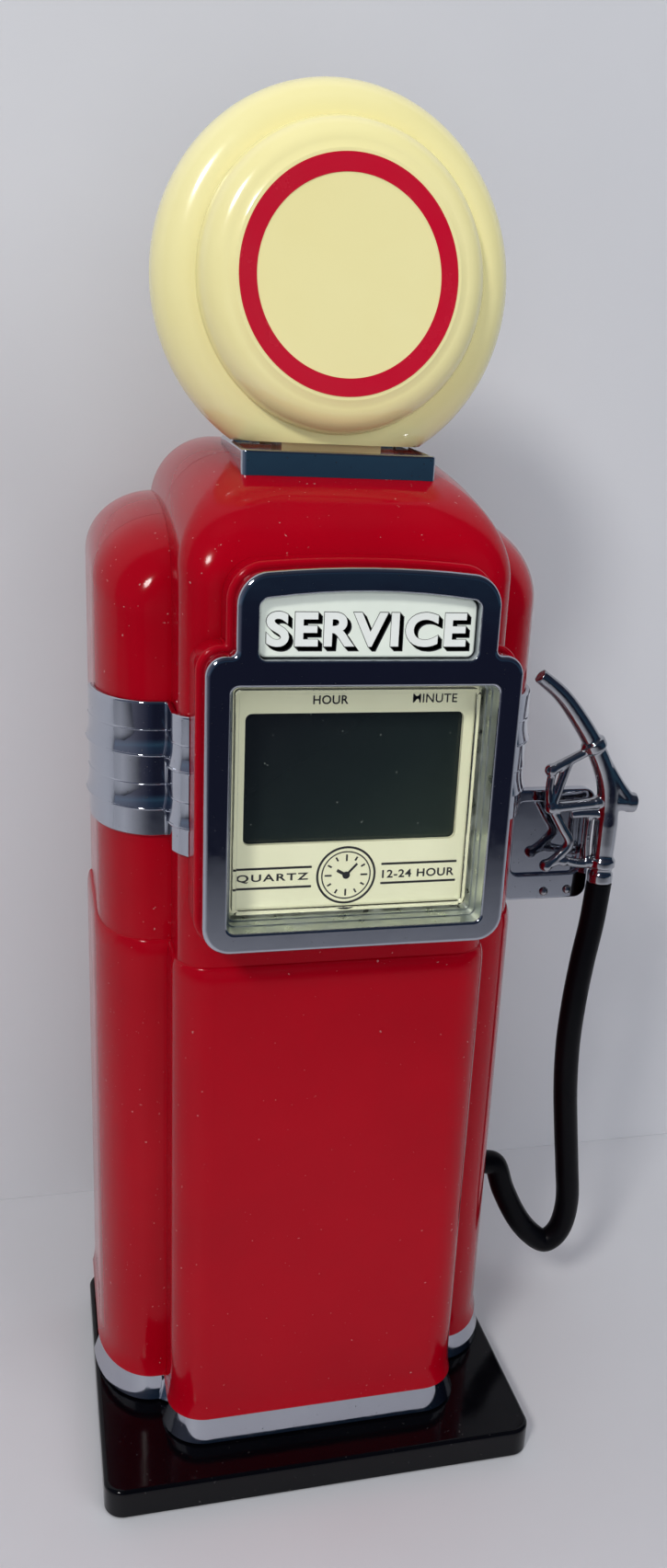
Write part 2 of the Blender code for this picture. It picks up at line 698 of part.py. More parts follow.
def build_shells(red, steel):
    """Front and rear shells: the outer blocks joined, hollowed and parted at the seam."""
    outer_wings = cutter("body_wings", wing_block("body_wings"))
    inner_centre = cutter("inside_centre", centre_block("inside_centre", WALL))
    inner_wings = cutter("inside_wings", wing_block("inside_wings", WALL))
    halves = dict(front_shell=((-FAR, -FAR, BODY_FOOT), (FAR, SEAM, HIGH)),
                  rear_shell=((-FAR, SEAM + GAP, BODY_FOOT), (FAR, FAR, HIGH)))
    shells = {}
    for name, (low, top) in halves.items():
        shell = add_object(name, centre_block(name), red)
        combine(shell, outer_wings, "UNION")
        combine(shell, inner_centre)
        combine(shell, inner_wings)
        add_bosses(shell, name)
        combine(shell, cutter("keep_" + name, box(name, low, top)), "INTERSECT")
        drill_bosses(shell, name)
        shells[name] = shell
    shape_front(shells["front_shell"])
    shape_rear(shells["rear_shell"])
    for number, (x, z) in enumerate(SHELL_SCREWS, 1):
        name = f"shell_screw_{number}"
        add_object(name, screw_mesh(name, (x, SHELL_SCREW_HEAD, z), (0, -1, 0),
                                    SCREW_HEAD_RADIUS, SHELL_SCREW_LENGTH), steel)


def base_bosses(name):
    """The base screws that go into this shell, as (number, x, y)."""
    return [(number, x, y) for number, (x, y) in enumerate(BASE_SCREWS, 1)
            if (y < SEAM) == (name == "front_shell")]


def add_bosses(shell, name):
    """Posts for the shell screws and, at the foot, blocks for the base screws."""
    front = name == "front_shell"
    for number, (x, z) in enumerate(SHELL_SCREWS, 1):
        low, high = (FRONT_BOSS_Y, SEAM - GAP) if front else (SEAM + 2 * GAP, REAR_BOSS_Y)
        join(shell, f"{name}_post_{number}", rod("post", (x, low, z), (x, high, z),
                                                 SHELL_BOSS_RADIUS, BORE_SIDES))
    for number, x, y in base_bosses(name):
        wall = CENTRE_FRONT + WALL - GAP if front else BODY_BACK - WALL + GAP
        low, high = sorted((y, wall))
        block = box("block", (x - FOOT_BOSS_HALF, low, 0.0),
                    (x + FOOT_BOSS_HALF, high, FOOT_BOSS_BLOCK_TOP))
        join(shell, f"{name}_block_{number}", block)
        join(shell, f"{name}_round_{number}", rod("round", (x, y, MM), (x, y, FOOT_BOSS_TOP),
                                                  FOOT_BOSS_RADIUS, BORE_SIDES))


def drill_bosses(shell, name):
    front = name == "front_shell"
    for number, (x, z) in enumerate(SHELL_SCREWS, 1):
        if front:
            bores = [(0.0, SEAM + MM, PILOT_RADIUS)]
        else:
            bores = [(SEAM - MM, BEHIND, CLEARANCE_RADIUS),
                     (SHELL_SCREW_HEAD - SHELL_HEAD_ROOM, BEHIND, HEAD_ROOM_RADIUS)]
        for step, (low, high, radius) in enumerate(bores):
            cut(shell, f"{name}_bore_{number}_{step}", rod("bore", (x, low, z), (x, high, z),
                                                           radius, BORE_SIDES))
    for number, x, y in base_bosses(name):
        cut(shell, f"{name}_pilot_{number}", rod("pilot", (x, y, -MM), (x, y, FOOT_PILOT_TOP),
                                                 PILOT_RADIUS, BORE_SIDES))


def bezel_outline(grow=0.0):
    """Outline of the bezel in x and z: a square clock frame with a narrower arched sign on top."""
    half, part = BEZEL_HALF + grow, SIGN_PART_HALF + grow
    low, shoulder, top = BEZEL_BOTTOM - grow, BEZEL_SHOULDER + grow, SIGN_PART_TOP + grow
    corner = BEZEL_CORNER + grow
    outer, inner = SHOULDER_CORNER + grow, max(SHOULDER_NOTCH - grow, MIN_RADIUS)
    points = fillet([(-half, low, corner), (half, low, corner), (half, shoulder, outer),
                     (part, shoulder, inner), (part, top, corner), (-part, top, corner),
                     (-part, shoulder, inner), (-half, shoulder, outer)], 5)
    return arch(points, part, top - corner, SIGN_PART_RISE)


def arch(points, half, start, rise):
    """Raise the points above `start` into a gentle arch."""
    return [(x, z + rise * (1.0 - (x / half) ** 2)) if z > start else (x, z) for x, z in points]


def sign_outline(grow=0.0):
    half, top = SIGN_HALF + grow, SIGN_TOP + grow
    corner = SIGN_CORNER + grow
    crown = [(half * k / 4.0, top, 0.0) for k in (2, 1, 0, -1, -2)]
    points = fillet([(-half, SIGN_BOTTOM - grow, corner), (half, SIGN_BOTTOM - grow, corner),
                     (half, top, corner)] + crown + [(-half, top, corner)], 3)
    return arch(points, half, top - ARCH_MARGIN, SIGN_RISE)


def shape_front(shell):
    """Add the bezel platform and cut the openings for the clock works and the globe's neck."""
    join(shell, "platform", plate("platform", bezel_outline(PLATFORM_OUT), PLATFORM_FRONT,
                                  PLATFORM_BACK))
    half = CARD_HALF + GAP
    cut(shell, "works_opening", box("works_opening",
                                    (-half, PLATFORM_FRONT - MM, WINDOW_BOTTOM - OPENING_GROW),
                                    (half, OPENING_BACK, WINDOW_TOP + OPENING_GROW)))
    cut_neck(shell, "front_neck")


def cut_neck(shell, name):
    low = (-NECK_HALF - GAP, GLOBE_Y - NECK_DEPTH - GAP, NECK_HOLE_BOTTOM)
    high = (NECK_HALF + GAP, GLOBE_Y + NECK_DEPTH + GAP, HIGH)
    cut(shell, name, box(name, low, high))


def shape_rear(shell):
    """Cut the battery opening, the control panel opening, sounder slots and hose hole."""
    half = DOOR_HALF - DOOR_STEP
    cut(shell, "door_seat", plate("door_seat", rectangle(
        -DOOR_HALF - GAP, DOOR_BOTTOM - GAP, DOOR_HALF + GAP, DOOR_TOP + GAP, OPENING_CORNER, 3),
        CENTRE_BACK - DOOR_THICKNESS, BEHIND))
    cut(shell, "battery_opening", plate("battery_opening", rectangle(
        -half, DOOR_BOTTOM + DOOR_LEDGE_LOW, half, DOOR_TOP - DOOR_LEDGE_HIGH,
        DOOR_ROOM_CORNER, 3), OPENING_START, BEHIND))
    panel = PANEL_HALF + GAP
    cut(shell, "panel_opening", plate("panel_opening", rectangle(
        -panel, PANEL_BOTTOM - GAP, panel, PANEL_TOP + GAP, OPENING_CORNER, 3),
        OPENING_START, BEHIND))
    half, height = SOUND_SLOT_HALF
    for k in range(SOUND_SLOTS):
        z = SOUND_Z + (k - SOUND_SLOTS // 2) * SOUND_PITCH
        cut(shell, f"sound_slot_{k + 1}", plate("sound_slot", rectangle(
            -half, z - height, half, z + height, SOUND_SLOT_CORNER, 3), OPENING_START, BEHIND))
    start, end = HOSE_HOLE
    cut(shell, "hose_hole", rod("hose_hole", (start, SOCKET_Y, SOCKET_Z),
                                (end, SOCKET_Y, SOCKET_Z), SOCKET_RADIUS + GAP))
    cut_neck(shell, "rear_neck")


def front_path(offset, shift, end_x):
    """Plan path along one side of the body, from the seam round to the front at end_x.

    offset is the distance outside the wall, shift how far the wall itself is stepped in.
    """
    half, front = WING_HALF - shift, WING_FRONT + shift
    centre_half, centre_front = CENTRE_HALF - shift, CENTRE_FRONT + shift
    notch = max(INNER_NOTCH - offset, MIN_RADIUS)
    path = [(half + offset, SEAM)]
    path += quarter_arc(half + offset, front - offset, WING_CORNER - shift + offset,
                        WING_ROUND_END - front + offset, WING_STEPS)
    path += fillet([(half, front - offset, 0.0), (centre_half + offset, front - offset, notch),
                    (centre_half + offset, centre_front, 0.0)], CORNER_STEPS)[1:-1]
    corner = CENTRE_CORNER - shift
    hub_x, hub_y = centre_half - corner, centre_front + corner
    radius = corner + offset
    sweep = math.acos(max(end_x - hub_x, 0.0) / radius)
    for k in range(CORNER_STEPS + 1):
        angle = sweep * k / CORNER_STEPS
        path.append((hub_x + radius * math.cos(angle), hub_y - radius * math.sin(angle)))
    return path


def wrapped(name, levels, inner, end_x, side):
    """Strip around the upper body: levels are (z, offset) pairs, inner is its inside offset."""
    inside = front_path(inner, STEP_IN, end_x)[::-1]
    loops = []
    for z, offset in levels:
        outline = front_path(offset, STEP_IN, end_x) + inside
        loops.append([(side * x, y, z) for x, y in outline])
    return loft(name, loops)


def build_bands(chrome):
    """Five tiers on each side; the second and fourth flare out at their lower edge."""
    levels = [(BAND_BOTTOM, BAND_OUT)]
    for tier in range(1, BAND_TIERS):
        z = BAND_BOTTOM + tier * BAND_TIER
        if tier % 2:
            levels += [(z - BAND_LIP, BAND_OUT), (z, BAND_FLARE)]
        else:
            levels.append((z, BAND_OUT))
    top = BAND_BOTTOM + BAND_TIERS * BAND_TIER
    edge_height, edge_depth = BAND_TOP_EDGE
    levels += [(top - edge_height, BAND_OUT), (top, BAND_OUT - edge_depth)]
    end_x = BEZEL_HALF + PLATFORM_OUT + GAP
    for name, side in (("side_band_left", -1), ("side_band_right", 1)):
        add_object(name, wrapped(name, levels, GAP, end_x, side), chrome)


def build_trim(chrome):
    """One chrome strip around the front half of the foot, its face leaning back."""
    inner = -TRIM_RECESS + GAP
    levels = [(BODY_FOOT, TRIM_OUT_LOW), (TRIM_TOP - TRIM_EDGE, TRIM_OUT_TOP),
              (TRIM_TOP, TRIM_OUT_TOP - TRIM_EDGE)]
    loops = []
    for z, offset in levels:
        right = front_path(offset, 0.0, 0.0)
        inside = front_path(inner, 0.0, 0.0)
        outline = right + [(-x, y) for x, y in right[::-1]]
        outline += [(-x, y) for x, y in inside] + inside[::-1]
        loops.append(flat_loop(outline, z))
    add_object("foot_trim", loft("foot_trim", loops), chrome)


# ---------------------------------------------------------------- bezel and clock works

def tapered(name, outline, front, back, spread):
    """Cutter for a window: wider by spread at the bezel's front, straight behind."""
    wide = shrink(outline, -spread)
    return loft(name, [upright_loop(wide, front - MM), upright_loop(wide, front),
                       upright_loop(outline, front + FLARE_DEPTH), upright_loop(outline, back)])


def build_bezel(chrome, sign, clear):
    outline = bezel_outline()
    loops = [upright_loop(outline, BEZEL_BACK), upright_loop(outline, BEZEL_FRONT + BEZEL_ROUND)]
    for k in range(1, BEZEL_ROUND_STEPS + 1):
        turn = math.pi / 2.0 * k / BEZEL_ROUND_STEPS
        loops.append(upright_loop(shrink(outline, BEZEL_ROUND * (1.0 - math.cos(turn))),
                                  BEZEL_FRONT + BEZEL_ROUND * (1.0 - math.sin(turn))))
    bezel = add_object("clock_bezel", loft("clock_bezel", loops), chrome)
    grow = COLLAR_GROW
    collar = rectangle(-WINDOW_HALF - grow, WINDOW_BOTTOM - grow,
                       WINDOW_HALF + grow, WINDOW_TOP + grow, COLLAR_CORNER, 4)
    join(bezel, "collar", plate("collar", collar, COLLAR_BACK, BEZEL_BACK - MM))
    window = rectangle(-WINDOW_HALF + WINDOW_LIP, WINDOW_BOTTOM + WINDOW_LIP,
                       WINDOW_HALF - WINDOW_LIP, WINDOW_TOP - WINDOW_LIP, WINDOW_CORNER, 4)
    cut(bezel, "clock_window", tapered("clock_window", window, BEZEL_FRONT, OPENING_BACK,
                                       WINDOW_LIP))
    cut(bezel, "sign_window", tapered("sign_window", sign_outline(), BEZEL_FRONT, OPENING_BACK,
                                      SIGN_LIP))
    add_object("sign_plate", plate("sign_plate", sign_outline(-GAP), SIGN_FRONT, BEZEL_BACK,
                                   SIGN_EDGE), sign)
    lens_back = COLLAR_BACK - LENS_SEAT
    add_object("clock_lens", plate("clock_lens", shrink(window, GAP), lens_back - LENS_THICKNESS,
                                   lens_back), clear)


def build_works(cream, glass, black, green, steel, rubber):
    """Dial card, display and circuit board, one behind the other."""
    card_back = CARD_FRONT + CARD_THICKNESS
    card = add_object("dial_card", plate("dial_card", rectangle(
        -CARD_HALF, WINDOW_BOTTOM - CARD_GROW, CARD_HALF, WINDOW_TOP + CARD_GROW, CARD_CORNER, 3),
        CARD_FRONT, card_back), cream)
    cut(card, "lcd_window", plate("lcd_window", rectangle(
        -LCD_HALF, LCD_BOTTOM, LCD_HALF, LCD_TOP, LCD_CORNER, 4), -FAR, 0.0))
    glass_front = card_back + GAP
    glass_back = glass_front + LCD_THICKNESS
    margin = LCD_MARGIN
    add_object("lcd_glass", plate("lcd_glass", rectangle(
        -LCD_HALF - margin, LCD_BOTTOM - margin, LCD_HALF + margin, LCD_TOP + margin,
        GLASS_CORNER, 2), glass_front, glass_back), glass)
    frame = build_lcd_frame(glass_front, glass_back, black)
    for name, z in (("zebra_strip_upper", LCD_TOP - ZEBRA_INSET),
                    ("zebra_strip_lower", LCD_BOTTOM + ZEBRA_INSET)):
        add_object(name, box(name, (-LCD_HALF + MM, glass_back + GAP, z - ZEBRA_HALF),
                             (LCD_HALF - MM, BOARD_FRONT - GAP, z + ZEBRA_HALF)), rubber)
    build_board(frame, green, black, steel)


def build_lcd_frame(glass_front, glass_back, black):
    """Moulded frame that holds the display glass and stands off the circuit board."""
    frame_back = BOARD_FRONT - GAP
    frame = add_object("lcd_frame", plate("lcd_frame", rectangle(
        -CARD_HALF, FRAME_LOW, CARD_HALF, WINDOW_TOP + CARD_GROW, FRAME_CORNER, 3),
        glass_front, frame_back), black)
    seat = LCD_MARGIN + GAP
    cut(frame, "glass_seat", plate("glass_seat", rectangle(
        -LCD_HALF - seat, LCD_BOTTOM - seat, LCD_HALF + seat, LCD_TOP + seat, HOLLOW_CORNER, 2),
        glass_front - MM, glass_back + GAP))
    cut(frame, "frame_hollow", plate("frame_hollow", rectangle(
        -LCD_HALF, LCD_BOTTOM, LCD_HALF, LCD_TOP, HOLLOW_CORNER, 2), glass_front, frame_back + MM))
    return frame


def build_board(frame, green, black, steel):
    """Circuit board with its two screws, a blob-topped chip and the quartz crystal."""
    board_back = BOARD_FRONT + BOARD_THICKNESS
    board = add_object("circuit_board", plate("circuit_board", rectangle(
        -CARD_HALF, WINDOW_BOTTOM - BOARD_GROW, CARD_HALF, WINDOW_TOP + BOARD_GROW,
        FRAME_CORNER, 3), BOARD_FRONT, board_back), green)
    for number, x in enumerate((-BOARD_SCREW_X, BOARD_SCREW_X), 1):
        name, z = f"board_screw_{number}", BOARD_SCREW_Z
        cut(board, name + "_hole", rod(name, (x, -FAR, z), (x, 0.0, z), BOARD_HOLE_RADIUS,
                                       BORE_SIDES))
        cut(frame, name + "_pilot", rod(name, (x, PILOT_START, z), (x, 0.0, z), PILOT_RADIUS,
                                        BORE_SIDES))
        add_object(name, screw_mesh(name, (x, board_back + BOARD_SCREW_RISE, z), (0, -1, 0),
                                    BOARD_SCREW_RADIUS, BOARD_SCREW_LENGTH), steel)
    loops = []
    for share, rise in CHIP_PROFILE:
        size = CHIP_RADIUS * share
        loops.append([(size * math.cos(a), board_back + rise, CHIP_Z + size * math.sin(a))
                      for a in TURN_16])
    add_object("clock_chip", loft("clock_chip", loops), black)
    y = board_back + CRYSTAL_LIFT
    add_object("quartz_crystal", rod("quartz_crystal", (CRYSTAL_X, y, CRYSTAL_LOW),
                                     (CRYSTAL_X, y, CRYSTAL_HIGH), CRYSTAL_RADIUS, BORE_SIDES,
                                     CRYSTAL_EDGE), steel)


# ---------------------------------------------------------------- globe

def turned(name, profile, steps=32):
    """Closed solid turned about the globe's axis from (radius, forward) points."""
    bm = bmesh.new()
    poles = {i: bm.verts.new((0.0, GLOBE_Y + y, GLOBE_Z)) for i, (r, y) in enumerate(profile)
             if r == 0.0}
    rows = []
    for k in range(steps):
        angle = 2.0 * math.pi * k / steps
        rows.append([poles.get(i) or bm.verts.new((r * math.cos(angle), GLOBE_Y + y,
                                                   GLOBE_Z + r * math.sin(angle)))
                     for i, (r, y) in enumerate(profile)])
    count = len(profile)
    for k in range(steps):
        here, there = rows[k], rows[(k + 1) % steps]
        for i in range(count):
            j = (i + 1) % count
            corners = [here[i], here[j], there[j], there[i]]
            distinct = list(dict.fromkeys(corners))
            if len(distinct) > 2:
                bm.faces.new(distinct)
    return finish_mesh(name, bm, GLOBE_SMOOTH_ANGLE)


def globe_profile(inset, steps):
    """Half section of the globe, from the rim at its seam to the edge of its flat face."""
    rim = GLOBE_RADIUS - inset
    shoulder = RIM_DEPTH - inset
    points = []
    for k in range(steps + 1):
        turn = math.pi / 2.0 * k / steps
        points.append((rim - RIM_BULGE * (1.0 - math.cos(turn)), -shoulder * math.sin(turn)))
    points.append((DISC_RADIUS - inset, -shoulder + DISC_ROOT))
    for k in range(steps):
        turn = math.pi / 2.0 * k / (steps - 1.0)
        points.append((DISC_RADIUS - inset - DISC_ROUND * (1.0 - math.cos(turn)),
                       -shoulder - (FACE_DEPTH - RIM_DEPTH - FACE_FALL) * math.sin(turn)))
    points.append((RING_OUTER + RING_MARGIN, -(FACE_DEPTH - inset) + RING_FALL))
    return points


def build_globe(cream, crimson, chrome):
    for name, side in (("globe_front", 1.0), ("globe_rear", -1.0)):
        outer, inner = globe_profile(0.0, 4), globe_profile(GLOBE_WALL, 2)
        loop = outer + [(0.0, -FACE_DEPTH), (0.0, -FACE_DEPTH + GLOBE_WALL)] + inner[::-1]
        loop = [(r, (y - GAP / 2.0) * side) for r, y in loop]
        half = add_object(name, turned(name, loop), cream)
        cut(half, name + "_flat", box(name, (-FAR, -FAR, 0.0), (FAR, FAR, GLOBE_FLAT)))
        near, far = sorted((-side * GAP / 2.0, -side * NECK_DEPTH))
        join(half, name + "_neck", box(name, (-NECK_HALF, GLOBE_Y + near, NECK_BOTTOM),
                                       (NECK_HALF, GLOBE_Y + far, GLOBE_FLAT + NECK_OVERLAP)))
    back = -FACE_DEPTH - GAP
    front = back - RING_THICKNESS
    ring = [(RING_INNER, back), (RING_OUTER, back), (RING_OUTER, front), (RING_INNER, front)]
    add_object("globe_ring", turned("globe_ring", ring), crimson)
    build_holder(chrome)


def build_holder(chrome):
    """Chrome collar that stands on the sloping roof around the globe's foot."""
    front, back = GLOBE_Y - HOLDER_DEPTH / 2.0, GLOBE_Y + HOLDER_DEPTH / 2.0
    outline = rectangle(-HOLDER_HALF, front, HOLDER_HALF, back, HOLDER_CORNER, 2)

    def sloped(points, lower):
        rise = (HOLDER_TOP_BACK - HOLDER_TOP_FRONT) / (back - front)
        return [(x, y, HOLDER_TOP_FRONT + rise * (y - front) - lower) for x, y in points]

    edge = HOLDER_EDGE
    holder = add_object("globe_holder", loft("globe_holder", [
        flat_loop(outline, HOLDER_BOTTOM), sloped(outline, edge),
        sloped(shrink(outline, edge), 0.0)]), chrome)
    half = HOLDER_HALF - HOLDER_RIM
    cut(holder, "holder_opening", box("holder_opening", (-half, front + HOLDER_RIM, 0.0),
                                      (half, back - HOLDER_RIM, HIGH)))
    cut(holder, "roof_seat", centre_block("roof_seat", -GAP))


# ---------------------------------------------------------------- nozzle, cradle and hose

def smooth_path(points, per_span=4):
    """Catmull-Rom path through the points."""
    points = [Vector(point) for point in points]
    padded = [points[0] * 2 - points[1]] + points + [points[-1] * 2 - points[-2]]
    path = []
    for a, b, c, d in zip(padded, padded[1:], padded[2:], padded[3:]):
        for k in range(per_span):
            t = k / per_span
            path.append(0.5 * ((2 * b) + (c - a) * t + (2 * a - 5 * b + 4 * c - d) * t ** 2
                               + (3 * b - a - 3 * c + d) * t ** 3))
    return path + [points[-1]]


def in_plane(points, y):
    return [(x * MM, y, z * MM) for x, z in points]


def build_nozzle(chrome):
    """Spout, valve body, handle and guard, cast in one piece; it rides on the lift slide."""
    y = NOZZLE_Y
    spout = smooth_path(in_plane(SPOUT_PATH, y), 2)
    thin, thick = SPOUT_RADII
    last = len(spout) - 1
    radii = [(thin + (thick - thin) * k / last) * MM for k in range(last + 1)]
    nozzle = add_object("nozzle", swept("nozzle", spout, radii), chrome,
                        (HANDLE_X, y, FERRULE_BOTTOM))
    handle = [(HANDLE_X, y, z * MM) for z, size in HANDLE_SECTIONS]
    sizes = [size * MM for z, size in HANDLE_SECTIONS]
    join(nozzle, "handle", swept("handle", handle, sizes))
    for name, (start, end, radius, edge) in (("valve_cap", VALVE_CAP),
                                             ("spout_collar", SPOUT_COLLAR)):
        low, high = in_plane((start, end), y)
        join(nozzle, name, rod(name, low, high, radius * MM, NOZZLE_SIDES, edge * MM))
    for name, (points, size) in NOZZLE_BARS.items():
        path = in_plane(points, y)
        join(nozzle, name, swept(name, path, [size * MM] * len(path), BAR_SIDES))


def build_cradle(chrome, steel):
    """Plate that stands out from the right-hand side behind the nozzle, with its foot flange."""
    side = WING_HALF - STEP_IN + GAP
    front, back = CRADLE_Y, CRADLE_Y + CRADLE_THICKNESS
    outline = rectangle(side + CRADLE_START, CRADLE_BOTTOM, CRADLE_OUT, CRADLE_TOP,
                        CRADLE_CORNER, 4)
    cradle = add_object("nozzle_cradle", plate("nozzle_cradle", outline, front, back,
                                               CRADLE_EDGE), chrome)
    recess = rectangle(side + RECESS_START, CRADLE_BOTTOM + RECESS_LOW, CRADLE_OUT - RECESS_OUT,
                       CRADLE_TOP - RECESS_HIGH, RECESS_CORNER, 4)
    cut(cradle, "cradle_recess", plate("cradle_recess", recess, front - MM, front + RECESS_DEPTH))
    near, far = FLANGE_DEPTH
    low, high = FLANGE_HEIGHT
    join(cradle, "cradle_flange", box("cradle_flange", (side, front + near, low),
                                      (side + FLANGE_THICKNESS, front + far, high)))
    for number, (x, z) in enumerate(RIVET_PLACES, 1):
        name = f"cradle_rivet_{number}"
        cut(cradle, name + "_hole", rod(name, (x, front - MM, z), (x, back + MM, z),
                                        RIVET_HOLE_RADIUS, BORE_SIDES))
        loops = []
        for reach, size in RIVET_PROFILE:
            loops.append([(x + size * MM * math.cos(a), front + reach * MM,
                           z + size * MM * math.sin(a)) for a in TURN_16])
        add_object(name, loft(name, loops), steel)


def build_hose(vinyl, black):
    """Hose from the nozzle's ferrule down and round into the socket in the body side."""
    lip = WING_HALF + GAP
    mouth = lip + SOCKET_LIP_LENGTH
    path = [(HANDLE_X, NOZZLE_Y, FERRULE_BOTTOM - GAP)]
    path += [(x * MM, y * MM, z * MM) for x, y, z in HOSE_MARKS]
    path += [(mouth + HOSE_STRAIGHT, SOCKET_Y, SOCKET_Z), (mouth, SOCKET_Y, SOCKET_Z)]
    add_object("hose", tube("hose", smooth_path(path, 2), HOSE_RADIUS, HOSE_SIDES), vinyl)
    socket = add_object("hose_socket", rod("hose_socket", (SOCKET_INNER_X, SOCKET_Y, SOCKET_Z),
                                           (lip, SOCKET_Y, SOCKET_Z), SOCKET_RADIUS), black)
    join(socket, "socket_lip", rod("socket_lip", (lip, SOCKET_Y, SOCKET_Z),
                                   (mouth - GAP, SOCKET_Y, SOCKET_Z), SOCKET_LIP_RADIUS, 16,
                                   CRADLE_EDGE))


def tube(name, path, radius, sides):
    """Round bar along any path, its section carried along without twisting."""
    loops = []
    side = Vector((0.0, 1.0, 0.0))
    for i, here in enumerate(path):
        before, after = path[max(i - 1, 0)], path[min(i + 1, len(path) - 1)]
        along = (Vector(after) - Vector(before)).normalized()
        side = (side - along * side.dot(along)).normalized()
        other = along.cross(side)
        angles = [2.0 * math.pi * k / sides for k in range(sides)]
        loops.append([Vector(here) + (side * math.cos(a) + other * math.sin(a)) * radius
                      for a in angles])
    return loft(name, loops, BAR_SMOOTH_ANGLE)


# ---------------------------------------------------------------- rear controls and battery

def build_controls(black, grey, red, green, brass):
    """Panel with three push buttons and a slide switch, and the small board behind them."""
    panel = add_object("control_panel", plate("control_panel", rectangle(
        -PANEL_HALF, PANEL_BOTTOM, PANEL_HALF, PANEL_TOP, PANEL_CORNER, 3),
        PANEL_BACK, CENTRE_BACK - PANEL_SINK, PANEL_EDGE), black)
    flange_depth, flange_out = BUTTON_FLANGE
    for name, place in (("hour_button", -1), ("minute_button", 0), ("mode_button", 1)):
        x = place * BUTTON_PITCH
        cut(panel, name + "_hole", rod(name, (x, 0.0, BUTTON_Z), (x, BEHIND, BUTTON_Z),
                                       BUTTON_RADIUS + GAP))
        wide = BUTTON_RADIUS + flange_out
        top = CENTRE_BACK + BUTTON_RISE
        stations = [(PANEL_BACK - BUTTON_STEM_REACH, BUTTON_STEM_RADIUS),
                    (PANEL_BACK - flange_depth, BUTTON_STEM_RADIUS),
                    (PANEL_BACK - flange_depth, wide), (PANEL_BACK - GAP, wide),
                    (PANEL_BACK - GAP, BUTTON_RADIUS), (top - BUTTON_EDGE, BUTTON_RADIUS),
                    (top, BUTTON_RADIUS - BUTTON_EDGE)]
        loops = [[(x + size * math.cos(a), y, BUTTON_Z + size * math.sin(a)) for a in TURN_16]
                 for y, size in stations]
        add_object(name, loft(name, loops), grey, (x, CENTRE_BACK, BUTTON_Z))
    build_switch(panel, red)
    build_control_board(green)
    build_ribbon(grey)
    wall = BODY_BACK - WALL
    add_object("sounder", rod("sounder", (0.0, wall - SOUNDER_DEPTH, SOUND_Z),
                              (0.0, wall - GAP, SOUND_Z), SOUNDER_RADIUS, 24, SOUNDER_EDGE), brass)


def build_switch(panel, red):
    """Slide switch in its slot, held by a flange behind the panel."""
    half, height, corner = SWITCH_SLOT
    cut(panel, "switch_slot", plate("switch_slot", rectangle(
        -half, SWITCH_Z - height, half, SWITCH_Z + height, corner, 2), 0.0, BEHIND))
    knob = add_object("alarm_switch", plate("alarm_switch", rectangle(
        KNOB_LEFT, SWITCH_Z - KNOB_HALF, KNOB_RIGHT, SWITCH_Z + KNOB_HALF, KNOB_CORNER, 2),
        PANEL_BACK - KNOB_REACH, CENTRE_BACK + KNOB_RISE, KNOB_EDGE), red,
        (KNOB_ORIGIN, CENTRE_BACK, SWITCH_Z))
    left, right, height, depth = KNOB_FLANGE
    join(knob, "switch_flange", box("switch_flange", (left, PANEL_BACK - depth, SWITCH_Z - height),
                                    (right, PANEL_BACK - GAP, SWITCH_Z + height)))


def build_control_board(green):
    """Small board with a contact dome behind each button."""
    board = add_object("control_board", box("control_board", (
        -CONTROL_BOARD_HALF, CONTROL_BOARD_Y, PANEL_BOTTOM + CONTROL_BOARD_INSET), (
        CONTROL_BOARD_HALF, CONTROL_BOARD_Y + CONTROL_BOARD_THICKNESS,
        PANEL_TOP - CONTROL_BOARD_INSET)), green)
    near, far = DOME_DEPTH
    for place in (-1, 0, 1):
        x = place * BUTTON_PITCH
        join(board, f"contact_dome_{place + 2}", rod("contact_dome", (
            x, CONTROL_BOARD_Y + near, BUTTON_Z), (x, CONTROL_BOARD_Y + far, BUTTON_Z),
            DOME_RADIUS, BORE_SIDES, DOME_EDGE))


def build_ribbon(grey):
    """Flat cable that joins the control board to the circuit board in a shallow S."""
    lead = [(0.0, CONTROL_BOARD_Y - GAP), (-RIBBON_SAG, RIBBON_BEND_REAR), (0.0, RIBBON_MIDDLE),
            (RIBBON_SAG, RIBBON_BEND_FRONT), (0.0, BOARD_FRONT + BOARD_THICKNESS + GAP)]
    loops = []
    for drop, y in lead:
        low = RIBBON_Z + drop
        high = low + RIBBON_THICKNESS
        loops.append([(-RIBBON_HALF, y, low), (RIBBON_HALF, y, low),
                      (RIBBON_HALF, y, high), (-RIBBON_HALF, y, high)])
    add_object("ribbon_cable", loft("ribbon_cable", loops), grey)


